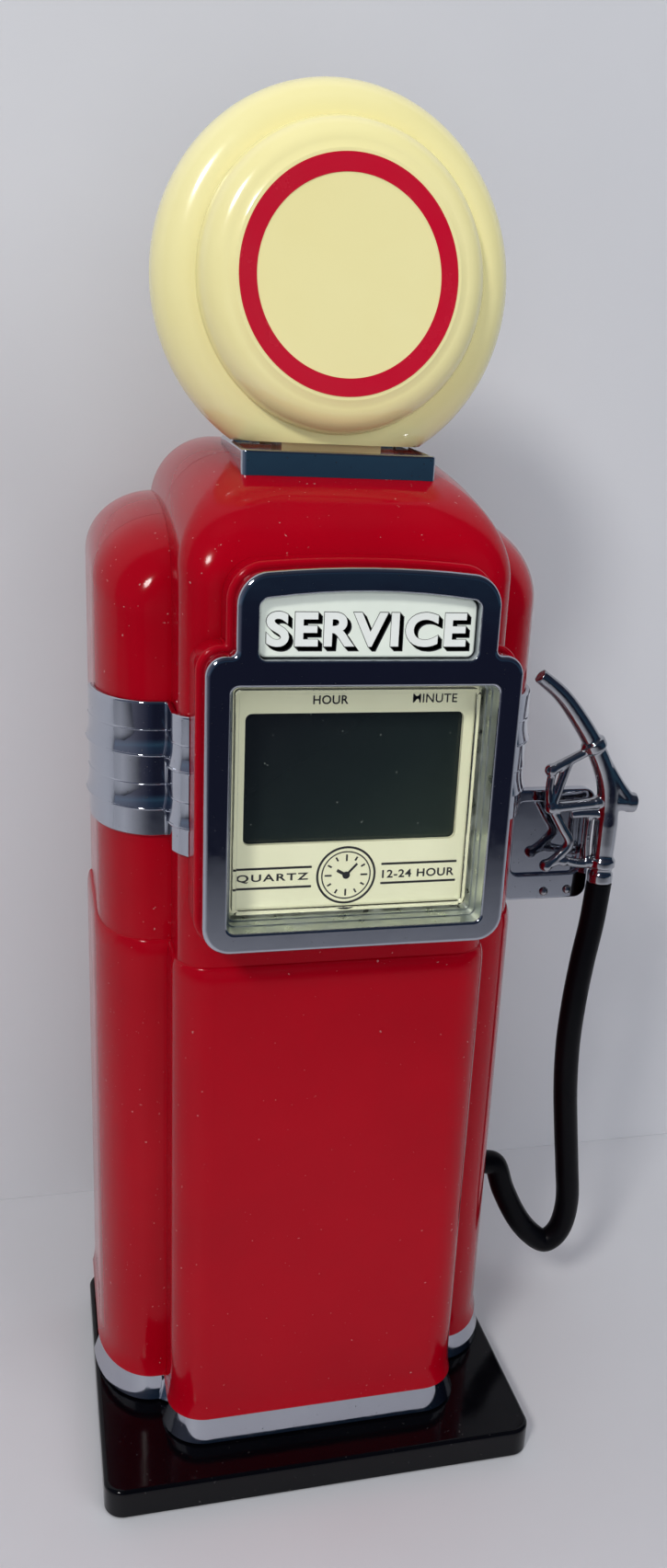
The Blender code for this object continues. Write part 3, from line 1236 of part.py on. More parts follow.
def build_battery(red, black, steel, label):
    """Battery door, tray, one AA cell and its two contacts."""
    front = CENTRE_BACK - DOOR_THICKNESS + GAP
    door = add_object("battery_door", plate("battery_door", rectangle(
        -DOOR_HALF, DOOR_BOTTOM, DOOR_HALF, DOOR_TOP, DOOR_CORNER, 3), front, CENTRE_BACK,
        DOOR_EDGE), red, (0.0, CENTRE_BACK, DOOR_TOP))
    half, height = GRIP_HALF
    for k in range(GRIPS):
        z = DOOR_TOP - GRIP_FIRST - GRIP_PITCH * k
        cut(door, f"door_grip_{k + 1}", plate("door_grip", rectangle(
            -half, z - height, half, z + height, GRIP_CORNER, 2),
            CENTRE_BACK - GRIP_DEPTH, CENTRE_BACK + MM))
    half = CELL_RADIUS + TRAY_SIDE
    wall = TRAY_WALL
    tray = add_object("battery_tray", box("battery_tray", (-half, CELL_Y - half, TRAY_LOW),
                                          (half, BODY_BACK - WALL - GAP, TRAY_HIGH)), black)
    cut(tray, "tray_hollow", box("tray_hollow", (-half + wall, CELL_Y - half + wall,
                                                 TRAY_LOW + wall),
                                 (half - wall, BEHIND, TRAY_HIGH - wall)))
    radius = CELL_RADIUS
    neck = CELL_TOP - CELL_CAP_HEIGHT
    edge = CELL_ROUND
    stations = [(CELL_BOTTOM, radius - edge), (CELL_BOTTOM + edge / 2, radius),
                (neck - edge, radius), (neck - edge / 7, radius - edge),
                (neck, CELL_CAP_RADIUS), (CELL_TOP - edge / 3, CELL_CAP_RADIUS),
                (CELL_TOP, CELL_CAP_TIP)]
    loops = [[(size * math.cos(a), CELL_Y + size * math.sin(a), z) for a in TURN_16]
             for z, size in stations]
    add_object("battery_cell", loft("battery_cell", loops), label)
    half, depth = CONTACT_HALF
    add_object("positive_contact", box("positive_contact", (-half, CELL_Y - depth, CELL_TOP + GAP),
                                       (half, CELL_Y + depth, CELL_TOP + CONTACT_TOP)), steel)
    build_spring(steel)


def build_spring(steel):
    """Coil spring that presses on the flat end of the cell, narrowing towards it."""
    count = int(SPRING_TURNS * SPRING_STEPS)
    start = TRAY_LOW + TRAY_WALL + GAP + SPRING_WIRE
    rise = CELL_BOTTOM - GAP - SPRING_WIRE - start
    wide, narrow = SPRING_REACH
    coil = []
    for k in range(count + 1):
        angle = 2.0 * math.pi * k / SPRING_STEPS
        share = k / count
        reach = wide + (narrow - wide) * share
        coil.append(Vector((reach * math.cos(angle), CELL_Y + reach * math.sin(angle),
                            start + rise * share)))
    add_object("battery_spring", tube("battery_spring", coil, SPRING_WIRE, SPRING_WIRE_SIDES),
               steel)


def main():
    clear_scene()
    red = material("red_plastic", RED, 0.12)
    cream = material("cream_plastic", CREAM, 0.15)
    crimson = material("crimson_ink", CRIMSON, 0.25)
    chrome = material("chrome_plate", CHROME, 0.08, 1.0)
    steel = material("steel", STEEL, 0.3, 1.0)
    black = material("black_plastic", BLACK, 0.2)
    vinyl = material("black_vinyl", BLACK, 0.4)
    rubber = material("rubber", RUBBER, 0.6)
    green = material("board_green", BOARD_GREEN, 0.4)
    grey = material("grey_plastic", GREY, 0.4)
    glass = material("display_glass", DISPLAY, 0.1)
    clear = material("clear_plastic", CLEAR, 0.05, 0.0, 0.95)
    sign = material("sign_card", SIGN_WHITE, 0.4)
    brass = material("brass", BRASS, 0.3, 1.0)
    label = material("cell_wrap", WRAP_BLUE, 0.35)
    build_base(black, steel)
    build_shells(red, steel)
    build_trim(chrome)
    build_bands(chrome)
    build_bezel(chrome, sign, clear)
    build_works(cream, glass, black, green, steel, rubber)
    build_globe(cream, crimson, chrome)
    build_nozzle(chrome)
    build_cradle(chrome, steel)
    build_hose(vinyl, black)
    build_controls(black, grey, crimson, green, brass)
    build_battery(red, black, steel, label)


main()
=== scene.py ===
"""Looks for the petrol pump alarm clock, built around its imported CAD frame.

Metres, +Z up. The front faces -Y. The outer pieces are rebuilt here with fine, rounded meshes of
the same size as their CAD nodes; the works inside keep their CAD meshes and get materials.
"""
import json
import math

import bmesh
import bpy
from mathutils import Matrix, Vector


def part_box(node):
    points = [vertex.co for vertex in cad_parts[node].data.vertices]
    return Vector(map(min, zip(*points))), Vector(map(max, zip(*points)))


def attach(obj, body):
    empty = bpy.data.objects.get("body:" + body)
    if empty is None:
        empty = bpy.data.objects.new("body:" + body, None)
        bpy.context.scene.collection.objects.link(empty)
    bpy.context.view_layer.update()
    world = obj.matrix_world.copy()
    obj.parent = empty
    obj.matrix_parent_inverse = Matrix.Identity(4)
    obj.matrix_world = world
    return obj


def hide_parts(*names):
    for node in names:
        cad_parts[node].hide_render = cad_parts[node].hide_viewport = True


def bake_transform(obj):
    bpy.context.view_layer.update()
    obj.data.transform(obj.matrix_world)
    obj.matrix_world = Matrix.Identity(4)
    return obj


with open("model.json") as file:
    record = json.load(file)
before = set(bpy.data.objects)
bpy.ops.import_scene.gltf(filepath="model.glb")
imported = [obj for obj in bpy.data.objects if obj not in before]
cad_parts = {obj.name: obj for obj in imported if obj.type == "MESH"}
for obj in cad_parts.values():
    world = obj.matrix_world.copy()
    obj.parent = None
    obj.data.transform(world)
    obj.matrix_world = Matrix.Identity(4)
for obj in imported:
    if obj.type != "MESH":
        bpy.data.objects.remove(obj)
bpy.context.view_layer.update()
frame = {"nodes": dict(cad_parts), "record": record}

MM = 0.001
QUARTER = math.pi / 2.0
ROOT = "root"

# Places read from the CAD nodes
BASE_LOW, BASE_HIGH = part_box("base_plate")
FRONT_LOW, FRONT_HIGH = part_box("front_shell")
BEZEL_LOW, BEZEL_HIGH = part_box("clock_bezel")
CARD_LOW, CARD_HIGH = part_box("dial_card")
LENS_LOW, LENS_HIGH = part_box("clock_lens")
SIGN_LOW, SIGN_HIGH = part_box("sign_plate")
GLOBE_LOW, GLOBE_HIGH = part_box("globe_front")
HOLDER_LOW, HOLDER_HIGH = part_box("globe_holder")
CRADLE_LOW, CRADLE_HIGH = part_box("nozzle_cradle")
NOZZLE_LOW, NOZZLE_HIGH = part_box("nozzle")
TRIM_LOW, TRIM_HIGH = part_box("foot_trim")
BAND_LOW, BAND_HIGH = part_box("side_band_right")
SOCKET_LOW, SOCKET_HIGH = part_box("hose_socket")
PANEL_LOW, PANEL_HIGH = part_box("control_panel")
DOOR_LOW, DOOR_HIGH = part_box("battery_door")

# Body sizes, the same as the CAD's
CENTRE_HALF = 26.6 * MM
CENTRE_FRONT = -20.7 * MM
CENTRE_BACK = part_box("rear_shell")[1].y
CENTRE_CORNER = 6.4 * MM
CENTRE_TOP = 179.0 * MM
WING_HALF = 38.0 * MM
WING_FRONT = -8.4 * MM
WING_BACK = 27.0 * MM
WING_CORNER = 9.6 * MM
WING_ROUND_END = 5.8 * MM
WING_TOP = 169.7 * MM
STEP_IN = 0.8 * MM
LEDGE_TOP = 99.4 * MM
LEDGE_HEIGHT = 3.0 * MM
SKIRT_OUT = 0.5 * MM
SKIRT_TOP = 14.6 * MM
TRIM_RECESS = 0.9 * MM
WALL = 1.8 * MM
SEAM = FRONT_HIGH.y
SEAM_GAP = 0.12 * MM
CENTRE_ROOF = dict(side=11.0 * MM, front=10.0 * MM, rise=11.0 * MM, dome=250.0 * MM)
WING_ROOF = dict(side=12.5 * MM, front=5.5 * MM, rise=10.5 * MM, dome=190.0 * MM)
ROOF_CORNER_GROWTH = 0.35
SOCKET = (SOCKET_LOW + SOCKET_HIGH) / 2.0
SHELL_SCREWS = [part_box(f"shell_screw_{k}") for k in range(1, 5)]
BASE_SCREWS = [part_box(f"base_screw_{k}") for k in range(1, 5)]


# ---------------------------------------------------------------- meshes

def quarter(steps):
    """Angles from 0 to a quarter turn."""
    return [QUARTER * k / steps for k in range(steps + 1)]


def rounding(steps):
    """(1 - cos, 1 - sin) pairs over a quarter turn, the shares of a rounded edge."""
    return [(1.0 - math.cos(turn), 1.0 - math.sin(turn)) for turn in quarter(steps)]


def circle(steps):
    return [4.0 * QUARTER * k / steps for k in range(steps)]


def fillet(corners, steps=10):
    """Closed outline from (x, y, radius) corners, each rounded by an arc."""
    outline = []
    total = len(corners)
    for i, (x, y, radius) in enumerate(corners):
        corner = Vector((x, y))
        if radius <= 0.0:
            outline.append((x, y))
            continue
        before = (Vector(corners[i - 1][:2]) - corner).normalized()
        after = (Vector(corners[(i + 1) % total][:2]) - corner).normalized()
        half = before.angle(after) / 2.0
        centre = corner + (before + after).normalized() * (radius / math.sin(half))
        start = corner + before * radius / math.tan(half) - centre
        end = corner + after * radius / math.tan(half) - centre
        sweep = end.angle_signed(start)
        for k in range(steps + 1):
            turn = sweep * k / steps
            outline.append((centre.x + start.x * math.cos(turn) - start.y * math.sin(turn),
                            centre.y + start.x * math.sin(turn) + start.y * math.cos(turn)))
    return outline


def rectangle(left, low, right, high, radius, steps=8):
    return fillet([(left, low, radius), (right, low, radius),
                   (right, high, radius), (left, high, radius)], steps)


def around(low, high, radius, grow=0.0, steps=8):
    """Rounded rectangle in x and z around a box, `grow` larger all round."""
    return rectangle(low.x - grow, low.z - grow, high.x + grow, high.z + grow, radius, steps)


def middle_of(low, high):
    return (Vector(low) + Vector(high)) / 2.0


def shrink(outline, distance):
    """Move an outline's points inwards by distance, square to its edges."""
    count = len(outline)
    moved = []
    for i in range(count):
        here = Vector(outline[i])
        before = (here - Vector(outline[i - 1])).normalized()
        after = (Vector(outline[(i + 1) % count]) - here).normalized()
        normal = Vector((-(before + after).y, (before + after).x)).normalized()
        stretch = 1.0 / max(0.5, normal.dot(Vector((-after.y, after.x))))
        moved.append(tuple(here + normal * distance * stretch))
    return moved


def flat(outline, z):
    return [(x, y, z) for x, y in outline]


def upright(outline, y):
    return [(x, y, z) for x, z in outline]


def finished(bm, name):
    bmesh.ops.recalc_face_normals(bm, faces=bm.faces)
    mesh = bpy.data.meshes.new(name)
    bm.to_mesh(mesh)
    bm.free()
    return mesh


def loft(loops, roofed=False):
    """Closed mesh through loops of equal length, capped at both ends.

    A roofed end is closed by strips across it, so that a domed roof stays fair.
    """
    bm = bmesh.new()
    rows = [[bm.verts.new(point) for point in loop] for loop in loops]
    count = len(rows[0])
    for lower, upper in zip(rows, rows[1:]):
        for i in range(count):
            j = (i + 1) % count
            bm.faces.new((lower[i], lower[j], upper[j], upper[i]))
    bm.faces.new(list(reversed(rows[0])))
    if roofed:
        left, right = rows[-1][:count // 2], rows[-1][count // 2:][::-1]
        for i in range(len(left) - 1):
            bm.faces.new((left[i], left[i + 1], right[i + 1], right[i]))
    else:
        bm.faces.new(rows[-1])
    return finished(bm, "loft")


def slab(outline, start, end, place, start_edge=0.0, end_edge=0.0, steps=5):
    """A slice between two depths, its rims rounded over by start_edge and end_edge."""
    way = 1.0 if end > start else -1.0
    loops = [place(shrink(outline, start_edge * inward), start + way * start_edge * deep)
             for deep, inward in (rounding(steps) if start_edge else [(0.0, 0.0)])]
    loops += [place(shrink(outline, end_edge * inward), end - way * end_edge * deep)
              for inward, deep in (rounding(steps) if end_edge else [(0.0, 0.0)])]
    return loft(loops)


def flared(outline, front, back, flare, place=upright, steps=5):
    """Cutter for an opening whose rim at `front` is rounded over by flare."""
    way = 1.0 if back > front else -1.0
    loops = [place(shrink(outline, -flare), front - way * MM)]
    loops += [place(shrink(outline, -flare * outward), front + way * flare * deep)
              for deep, outward in rounding(steps)]
    return loft(loops + [place(outline, back)])


def box(low, high):
    outline = [(low[0], low[1]), (high[0], low[1]), (high[0], high[1]), (low[0], high[1])]
    return loft([flat(outline, low[2]), flat(outline, high[2])])


def lathe(centre, along, stations, steps=48):
    """Solid turned about `along` through `centre`, from (reach, radius) stations, end to end."""
    centre, along = Vector(centre), Vector(along).normalized()
    side = along.orthogonal().normalized()
    other = along.cross(side)
    return loft([[centre + along * reach + (side * math.cos(a) + other * math.sin(a)) * radius
                  for a in circle(steps)] for reach, radius in stations])


def round_bar(start, end, radius, edge=0.0, steps=32):
    """Straight round bar with rounded rims."""
    start, end = Vector(start), Vector(end)
    length = (end - start).length
    stations = [(0.0, radius), (length, radius)]
    if edge:
        turned_in = [(edge * deep, radius - edge * inward) for deep, inward in rounding(4)]
        stations = turned_in + [(length - reach, size) for reach, size in reversed(turned_in)]
    return lathe(start, end - start, stations, steps)


def smooth_path(points, per_span=8):
    """Catmull-Rom path through the points."""
    points = [Vector(point) for point in points]
    padded = [points[0] * 2 - points[1]] + points + [points[-1] * 2 - points[-2]]
    path = []
    for a, b, c, d in zip(padded, padded[1:], padded[2:], padded[3:]):
        for k in range(per_span):
            t = k / per_span
            path.append(0.5 * ((2 * b) + (c - a) * t + (2 * a - 5 * b + 4 * c - d) * t ** 2
                               + (3 * b - a - 3 * c + d) * t ** 3))
    return path + [points[-1]]


def tube(path, radii, steps=24):
    """Round bar along a path, its section carried along without twisting."""
    loops = []
    side = Vector((0.0, 1.0, 0.0))
    for i, here in enumerate(path):
        along = (path[min(i + 1, len(path) - 1)] - path[max(i - 1, 0)]).normalized()
        side = (side - along * side.dot(along)).normalized()
        other = along.cross(side)
        loops.append([here + (side * math.cos(a) + other * math.sin(a)) * radii[i]
                      for a in circle(steps)])
    return loft(loops)


def temporary(mesh):
    made = bpy.data.objects.new("temporary", mesh)
    bpy.context.scene.collection.objects.link(made)
    return made


def evaluated(made):
    """The mesh an object has after its modifiers; the object is removed."""
    graph = bpy.context.evaluated_depsgraph_get()
    mesh = bpy.data.meshes.new_from_object(made.evaluated_get(graph))
    bpy.data.objects.remove(made, do_unlink=True)
    return mesh


def closed(mesh):
    """The same mesh with stray points removed and small open rims filled."""
    bm = bmesh.new()
    bm.from_mesh(mesh)
    bmesh.ops.delete(bm, geom=[v for v in bm.verts if not v.link_faces], context="VERTS")
    rims = [edge for edge in bm.edges if edge.is_boundary]
    bmesh.ops.holes_fill(bm, edges=rims, sides=8)
    return finished(bm, "closed")


def cut(mesh):
    return ("DIFFERENCE", mesh)


def add(mesh):
    return ("UNION", mesh)


def solid(mesh, *changes):
    """Mesh after exact booleans, given as (operation, mesh) pairs."""
    body = temporary(mesh)
    tools = []
    for operation, tool_mesh in changes:
        tool = temporary(tool_mesh)
        change = body.modifiers.new(operation, "BOOLEAN")
        change.operation = operation
        change.solver = "EXACT"
        change.object = tool
        tools.append(tool)
    result = closed(evaluated(body))
    for tool in tools:
        bpy.data.objects.remove(tool, do_unlink=True)
    return result


def merged(meshes):
    """Several meshes in one, side by side."""
    bm = bmesh.new()
    for mesh in meshes:
        bm.from_mesh(mesh)
    return finished(bm, "merged")


def piece(name, mesh, surface, body=ROOT, stands_for=(), angle=35.0):
    """Show a mesh as a named piece that rides on a CAD body."""
    made = bpy.data.objects.new(name, mesh)
    mesh.name = name
    bpy.context.scene.collection.objects.link(made)
    mesh.materials.clear()
    mesh.materials.append(surface)
    mesh.shade_smooth()
    mesh.set_sharp_from_angle(angle=math.radians(angle))
    weighted = made.modifiers.new("even shading", "WEIGHTED_NORMAL")
    weighted.keep_sharp = True
    if body:
        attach(made, body)
    if stands_for:
        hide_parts(*stands_for)
    return made


def replace(node, mesh, slot, surface=None, body=ROOT, angle=35.0):
    """Show a fine mesh instead of a CAD node, with the material of its slot by default."""
    return piece(node + "_fine", mesh, surface or SURFACES[slot], body, [node], angle)


# ---------------------------------------------------------------- materials

class Tree:
    """A node tree with short calls that make and join nodes."""

    def __init__(self, owner):
        self.nodes, self.links = owner.node_tree.nodes, owner.node_tree.links

    def feed(self, socket, value):
        """Link an output to the socket, or set its value; a colour is given as a triple."""
        if hasattr(value, "links"):
            self.links.new(value, socket)
        elif isinstance(value, tuple) and socket.type == "RGBA":
            socket.default_value = (*value, 1.0)
        else:
            socket.default_value = value

    def node(self, kind, **inputs):
        made = self.nodes.new("ShaderNode" + kind)
        for label, value in inputs.items():
            self.feed(made.inputs[label.replace("_", " ")], value)
        return made

    def axis(self, place, name):
        return self.node("SeparateXYZ", Vector=place).outputs[name]

    def ramp(self, value, *stops):
        """Colour ramp from (position, colour) stops."""
        node = self.node("ValToRGB", Fac=value)
        elements = node.color_ramp.elements
        while len(elements) < len(stops):
            elements.new(0.5)
        for element, (position, colour) in zip(elements, stops):
            element.position = position
            element.color = (*colour, 1.0)
        return node.outputs["Color"]

    def spread(self, value, low=0.0, high=1.0, start=0.3, end=0.7):
        """Map value, from start to end, onto low to high."""
        return self.node("MapRange", Value=value, From_Min=start, From_Max=end, To_Min=low,
                         To_Max=high).outputs["Result"]

    def mix(self, share, first, second):
        node = self.nodes.new("ShaderNodeMix")
        node.data_type = "RGBA"
        for label, value in (("Factor", share), ("A", first), ("B", second)):
            self.feed(next(s for s in node.inputs if s.name == label and s.enabled), value)
        return next(s for s in node.outputs if s.enabled)

    def maths(self, operation, first, second):
        node = self.nodes.new("ShaderNodeMath")
        node.operation = operation
        self.feed(node.inputs[0], first)
        self.feed(node.inputs[1], second)
        return node.outputs["Value"]

    def finish(self, share, first, second, output):
        """Send a mix of two shaders to the tree's output node."""
        node = self.node("MixShader", Fac=share)
        self.feed(node.inputs[1], first)
        self.feed(node.inputs[2], second)
        self.feed(self.nodes[output].inputs["Surface"], node.outputs["Shader"])


class Surface(Tree):
    """A node material with a Principled shader and object coordinates in metres."""

    def __init__(self, name):
        self.material = bpy.data.materials.new(name)
        self.material.use_nodes = True
        super().__init__(self.material)
        self.shader = self.nodes["Principled BSDF"]
        self.place = self.node("TexCoord").outputs["Object"]

    def set(self, **values):
        for key, value in values.items():
            label = key.replace("_", " ").title().replace("Ior", "IOR")
            self.feed(self.shader.inputs[label], value)

    def noise(self, scale, detail=3.0, roughness=0.55, stretch=None):
        place = self.place
        if stretch:
            place = self.node("Mapping", Scale=stretch, Vector=place).outputs["Vector"]
        return self.node("TexNoise", Vector=place, Scale=scale, Detail=detail,
                         Roughness=roughness).outputs["Fac"]

    def bump(self, height, distance):
        node = self.node("Bump", Strength=1.0, Distance=distance, Height=height)
        self.feed(self.shader.inputs["Normal"], node.outputs["Normal"])
        return self.material

    def dust(self, scale, threshold):
        """Share of surface under fine specks, 1 on a speck and 0 elsewhere."""
        return self.spread(self.noise(scale, 2.0, 0.5), 0.0, 1.0, threshold, threshold + 0.03)


def plastic(name, colour, tint, roughness, coat=0.0, specks=0.0, peel=0.012, waves=340.0,
            gloss=0.5):
    """Moulded plastic: slight colour drift, orange peel, fine specks of dust."""
    made = Surface(name)
    drift = made.mix(made.spread(made.noise(38.0)), colour, tint)
    if specks:
        drift = made.mix(made.maths("MULTIPLY", made.dust(1500.0, 0.73), specks), drift,
                         (0.75, 0.7, 0.66))
    made.set(base_color=drift, roughness=made.spread(made.noise(210.0, 4.0), roughness * 0.8,
                                                     roughness * 1.35),
             coat_weight=coat, coat_roughness=0.03, specular_ior_level=gloss)
    return made.bump(made.noise(waves, 2.0), peel * MM)


def plated(name, colour, roughness, pits=0.0, waves=160.0, depth=0.02):
    """Bright plating: faint waviness, fine pits, roughness that drifts."""
    made = Surface(name)
    base = made.mix(made.spread(made.noise(60.0)), colour, tuple(c * 0.93 for c in colour))
    rough = made.spread(made.noise(420.0, 4.0), roughness * 0.6, roughness * 1.8)
    if pits:
        spots = made.dust(2100.0, 0.72)
        base = made.mix(made.maths("MULTIPLY", spots, pits), base, (0.16, 0.15, 0.14))
        rough = made.maths("ADD", rough, made.maths("MULTIPLY", spots, 0.3))
    made.set(base_color=base, roughness=rough, metallic=1.0)
    return made.bump(made.noise(waves, 2.0), depth * MM)


def steel_surface():
    made = Surface("steel")
    grain = made.noise(900.0, 3.0, 0.6, (1.0, 1.0, 0.12))
    made.set(base_color=made.mix(grain, (0.5, 0.5, 0.52), (0.36, 0.36, 0.38)), metallic=1.0,
             roughness=made.spread(grain, 0.2, 0.42))
    return made.bump(grain, 0.01 * MM)


def printed(name, colour, tint):
    """Printed card: paper tooth and faint mottling."""
    made = Surface(name)
    made.set(base_color=made.mix(made.spread(made.noise(150.0, 4.0)), colour, tint),
             roughness=made.spread(made.noise(900.0), 0.36, 0.5))
    return made.bump(made.noise(4000.0, 2.0), 0.004 * MM)


def display_surface():
    """Unlit liquid-crystal display: dark polariser, greener towards its lower right."""
    made = Surface("display_glass")
    low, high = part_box("lcd_glass")
    across = made.spread(made.axis(made.place, "X"), 0.0, 1.0, low.x, high.x)
    down = made.spread(made.axis(made.place, "Z"), 1.0, 0.0, low.z, high.z)
    share = made.maths("MULTIPLY", made.maths("ADD", across, down), 0.5)
    colour = made.ramp(share, (0.0, (0.007, 0.008, 0.011)), (0.55, (0.013, 0.020, 0.019)),
                       (1.0, (0.026, 0.038, 0.030)))
    speckled = made.mix(made.dust(1300.0, 0.745), colour, (0.3, 0.33, 0.3))
    made.set(base_color=speckled, roughness=made.spread(made.noise(300.0), 0.1, 0.2))
    return made.bump(made.noise(700.0), 0.002 * MM)


def clear_surface():
    """Clear moulded plastic that lets light straight through to what lies behind."""
    made = Surface("clear_plastic")
    made.set(base_color=(0.97, 0.98, 0.96), transmission_weight=1.0, ior=1.45,
             roughness=made.spread(made.noise(500.0), 0.0, 0.03))
    made.bump(made.noise(260.0), 0.003 * MM)
    rays = made.node("LightPath").outputs
    made.finish(made.maths("MAXIMUM", rays["Is Shadow Ray"], rays["Is Diffuse Ray"]),
                made.shader.outputs["BSDF"], made.node("BsdfTransparent").outputs["BSDF"],
                "Material Output")
    return made.material


def board_surface():
    """Circuit board: solder mask over faint copper tracks."""
    made = Surface("board_green")
    cells = made.node("TexVoronoi", Vector=made.place, Scale=260.0)
    cells.feature = "DISTANCE_TO_EDGE"
    tracks = made.spread(cells.outputs["Distance"], 1.0, 0.0, 0.02, 0.05)
    made.set(base_color=made.mix(tracks, (0.012, 0.10, 0.03), (0.035, 0.20, 0.06)),
             roughness=made.spread(made.noise(400.0), 0.3, 0.45))
    return made.bump(tracks, 0.02 * MM)


def wrap_surface():
    """Printed sleeve of the battery cell: a dark body with a copper-coloured top end."""
    made = Surface("cell_wrap")
    low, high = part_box("battery_cell")
    height = made.spread(made.axis(made.place, "Z"), 0.0, 1.0, low.z, high.z)
    made.set(base_color=made.ramp(height, (0.0, (0.02, 0.02, 0.03)), (0.70, (0.03, 0.03, 0.05)),
                                  (0.72, (0.55, 0.25, 0.08)), (1.0, (0.6, 0.3, 0.1))),
             roughness=made.spread(made.noise(500.0), 0.25, 0.4))
    return made.bump(made.noise(900.0), 0.004 * MM)


SURFACES = {
    "red_plastic": plastic("red_plastic", (0.375, 0.0005, 0.0085), (0.33, 0.0004, 0.0075), 0.11,
                           coat=0.0, specks=0.3, gloss=0.17),
    "cream_plastic": plastic("cream_plastic", (0.90, 0.83, 0.42), (0.88, 0.80, 0.38), 0.16,
                             coat=0.4, specks=0.06),
    "crimson_ink": plastic("crimson_ink", (0.56, 0.002, 0.025), (0.50, 0.002, 0.02), 0.22),
    "chrome_plate": plated("chrome_plate", (0.50, 0.52, 0.58), 0.05, pits=0.8),
    "steel": steel_surface(),
    "black_plastic": plastic("black_plastic", (0.001, 0.001, 0.002), (0.002, 0.002, 0.003), 0.1,
                             specks=0.05, gloss=0.22),
    "black_vinyl": plastic("black_vinyl", (0.001, 0.001, 0.002), (0.002, 0.002, 0.003), 0.34,
                           peel=0.03, waves=520.0, gloss=0.1),
    "rubber": plastic("rubber", (0.16, 0.02, 0.02), (0.10, 0.02, 0.02), 0.6, peel=0.03),
    "board_green": board_surface(),
    "grey_plastic": plastic("grey_plastic", (0.24, 0.24, 0.25), (0.2, 0.2, 0.21), 0.35,
                            peel=0.02, waves=900.0),
    "display_glass": display_surface(),
    "clear_plastic": clear_surface(),
    "sign_card": printed("sign_card", (0.84, 0.90, 0.80), (0.80, 0.86, 0.76)),
    "brass": plated("brass", (0.62, 0.43, 0.17), 0.25),
    "cell_wrap": wrap_surface(),
}
NOZZLE_PLATE = plated("nozzle_plate", (0.46, 0.47, 0.50), 0.11, pits=0.4)
SATIN_PLATE = plated("satin_plate", (0.58, 0.63, 0.60), 0.34, pits=0.2)
CARD_PRINT = printed("card_stock", (0.95, 0.94, 0.66), (0.91, 0.90, 0.62))
INK = printed("black_ink", (0.012, 0.012, 0.014), (0.02, 0.02, 0.022))
LETTER_FACE = printed("letter_face", (0.85, 0.88, 0.84), (0.81, 0.84, 0.79))


def paint_cad_nodes():
    """Give every CAD node the material of its slot in the record."""
    for row in frame["record"]["subparts"]:
        node = frame["nodes"][row["node"]]
        node.data.materials.clear()
        node.data.materials.append(SURFACES[row["material_slot"]])
    card = frame["nodes"]["dial_card"]
    card.data.materials[0] = CARD_PRINT


# ---------------------------------------------------------------- body

def quarter_arc(x, y, wide, deep, steps):
    """Quarter of an ellipse from the side at (x, y + deep) round to the front at (x - wide, y)."""
    return [(x - wide * inward, y + deep * back) for inward, back in rounding(steps)]


def block_loop(half, front, back, corner, z, round_end=None, steps=16, side_steps=14):
    """Plan outline of one body block: back left, forward, across the front, then back.

    The front corners are `corner` wide and reach back to `round_end`, or are round without it.
    """
    deep = corner if round_end is None else round_end - front
    arc = quarter_arc(half, front, corner, deep, steps)
    arcs = [(-x, y) for x, y in arc] + arc[::-1]
    side = [back + (front + deep - back) * k / side_steps for k in range(side_steps)]
    return flat([(-half, y) for y in side] + arcs + [(half, y) for y in reversed(side)], z)


def roof_loop(half, front, back, corner, top, roof, swing, fall, round_end):
    """Plan outline on the roof's rounding, `swing` of the way in and `fall` of the way down."""
    loop = block_loop(half - roof["side"] * swing, front + roof["front"] * swing, back,
                      corner + ROOF_CORNER_GROWTH * roof["front"] * swing, top, round_end)
    return [(x, y, z - roof["rise"] * fall - (back - y) ** 2 / roof["dome"])
            for x, y, z in loop]


def wall_levels(inset, grow):
    """Height and inset pairs of the walls, from the foot to above the ledge."""
    levels = [(FRONT_LOW.z - 3.0 * MM, inset + TRIM_RECESS)]
    if inset == 0.0:
        lip = TRIM_HIGH.z + 0.1 * MM
        levels += [(lip, TRIM_RECESS), (lip + 0.01 * MM, 0.2 * MM - SKIRT_OUT),
                   (lip + 0.2 * MM, -SKIRT_OUT)]
    for k in range(1, 9):
        share = 1.0 - k / 8.0
        levels.append((SKIRT_TOP - (SKIRT_TOP - TRIM_HIGH.z - 0.3 * MM) * share,
                       inset - SKIRT_OUT * share ** 2))
    levels += [(LEDGE_TOP - LEDGE_HEIGHT * down, inset + STEP_IN * inward)
               for inward, down in rounding(8)]
    return [(z, shift - grow) for z, shift in levels]


def body_block(half, front, back, corner, top, roof, inset=0.0, grow=0.0, round_end=None):
    """One block of the body as a closed solid, inset all round."""
    change = inset - grow
    loops = [block_loop(half - shift, front + shift, back - change, max(corner - shift, MM), z,
                        round_end) for z, shift in wall_levels(inset, grow)]
    shift = change + STEP_IN
    inner_roof = {key: roof[key] - change for key in ("side", "front", "rise")}
    inner_roof["dome"] = roof["dome"]
    loops += [roof_loop(half - shift, front + shift, back - change, max(corner - shift, MM),
                        top - change, inner_roof, swing, fall, round_end)
              for swing, fall in rounding(16)]
    return loft(loops, roofed=True)


def centre_block(inset=0.0, grow=0.0):
    return body_block(CENTRE_HALF, CENTRE_FRONT, CENTRE_BACK, CENTRE_CORNER, CENTRE_TOP,
                      CENTRE_ROOF, inset, grow)


def wing_block(inset=0.0):
    return body_block(WING_HALF, WING_FRONT, WING_BACK, WING_CORNER, WING_TOP, WING_ROOF, inset,
                      round_end=WING_ROUND_END)


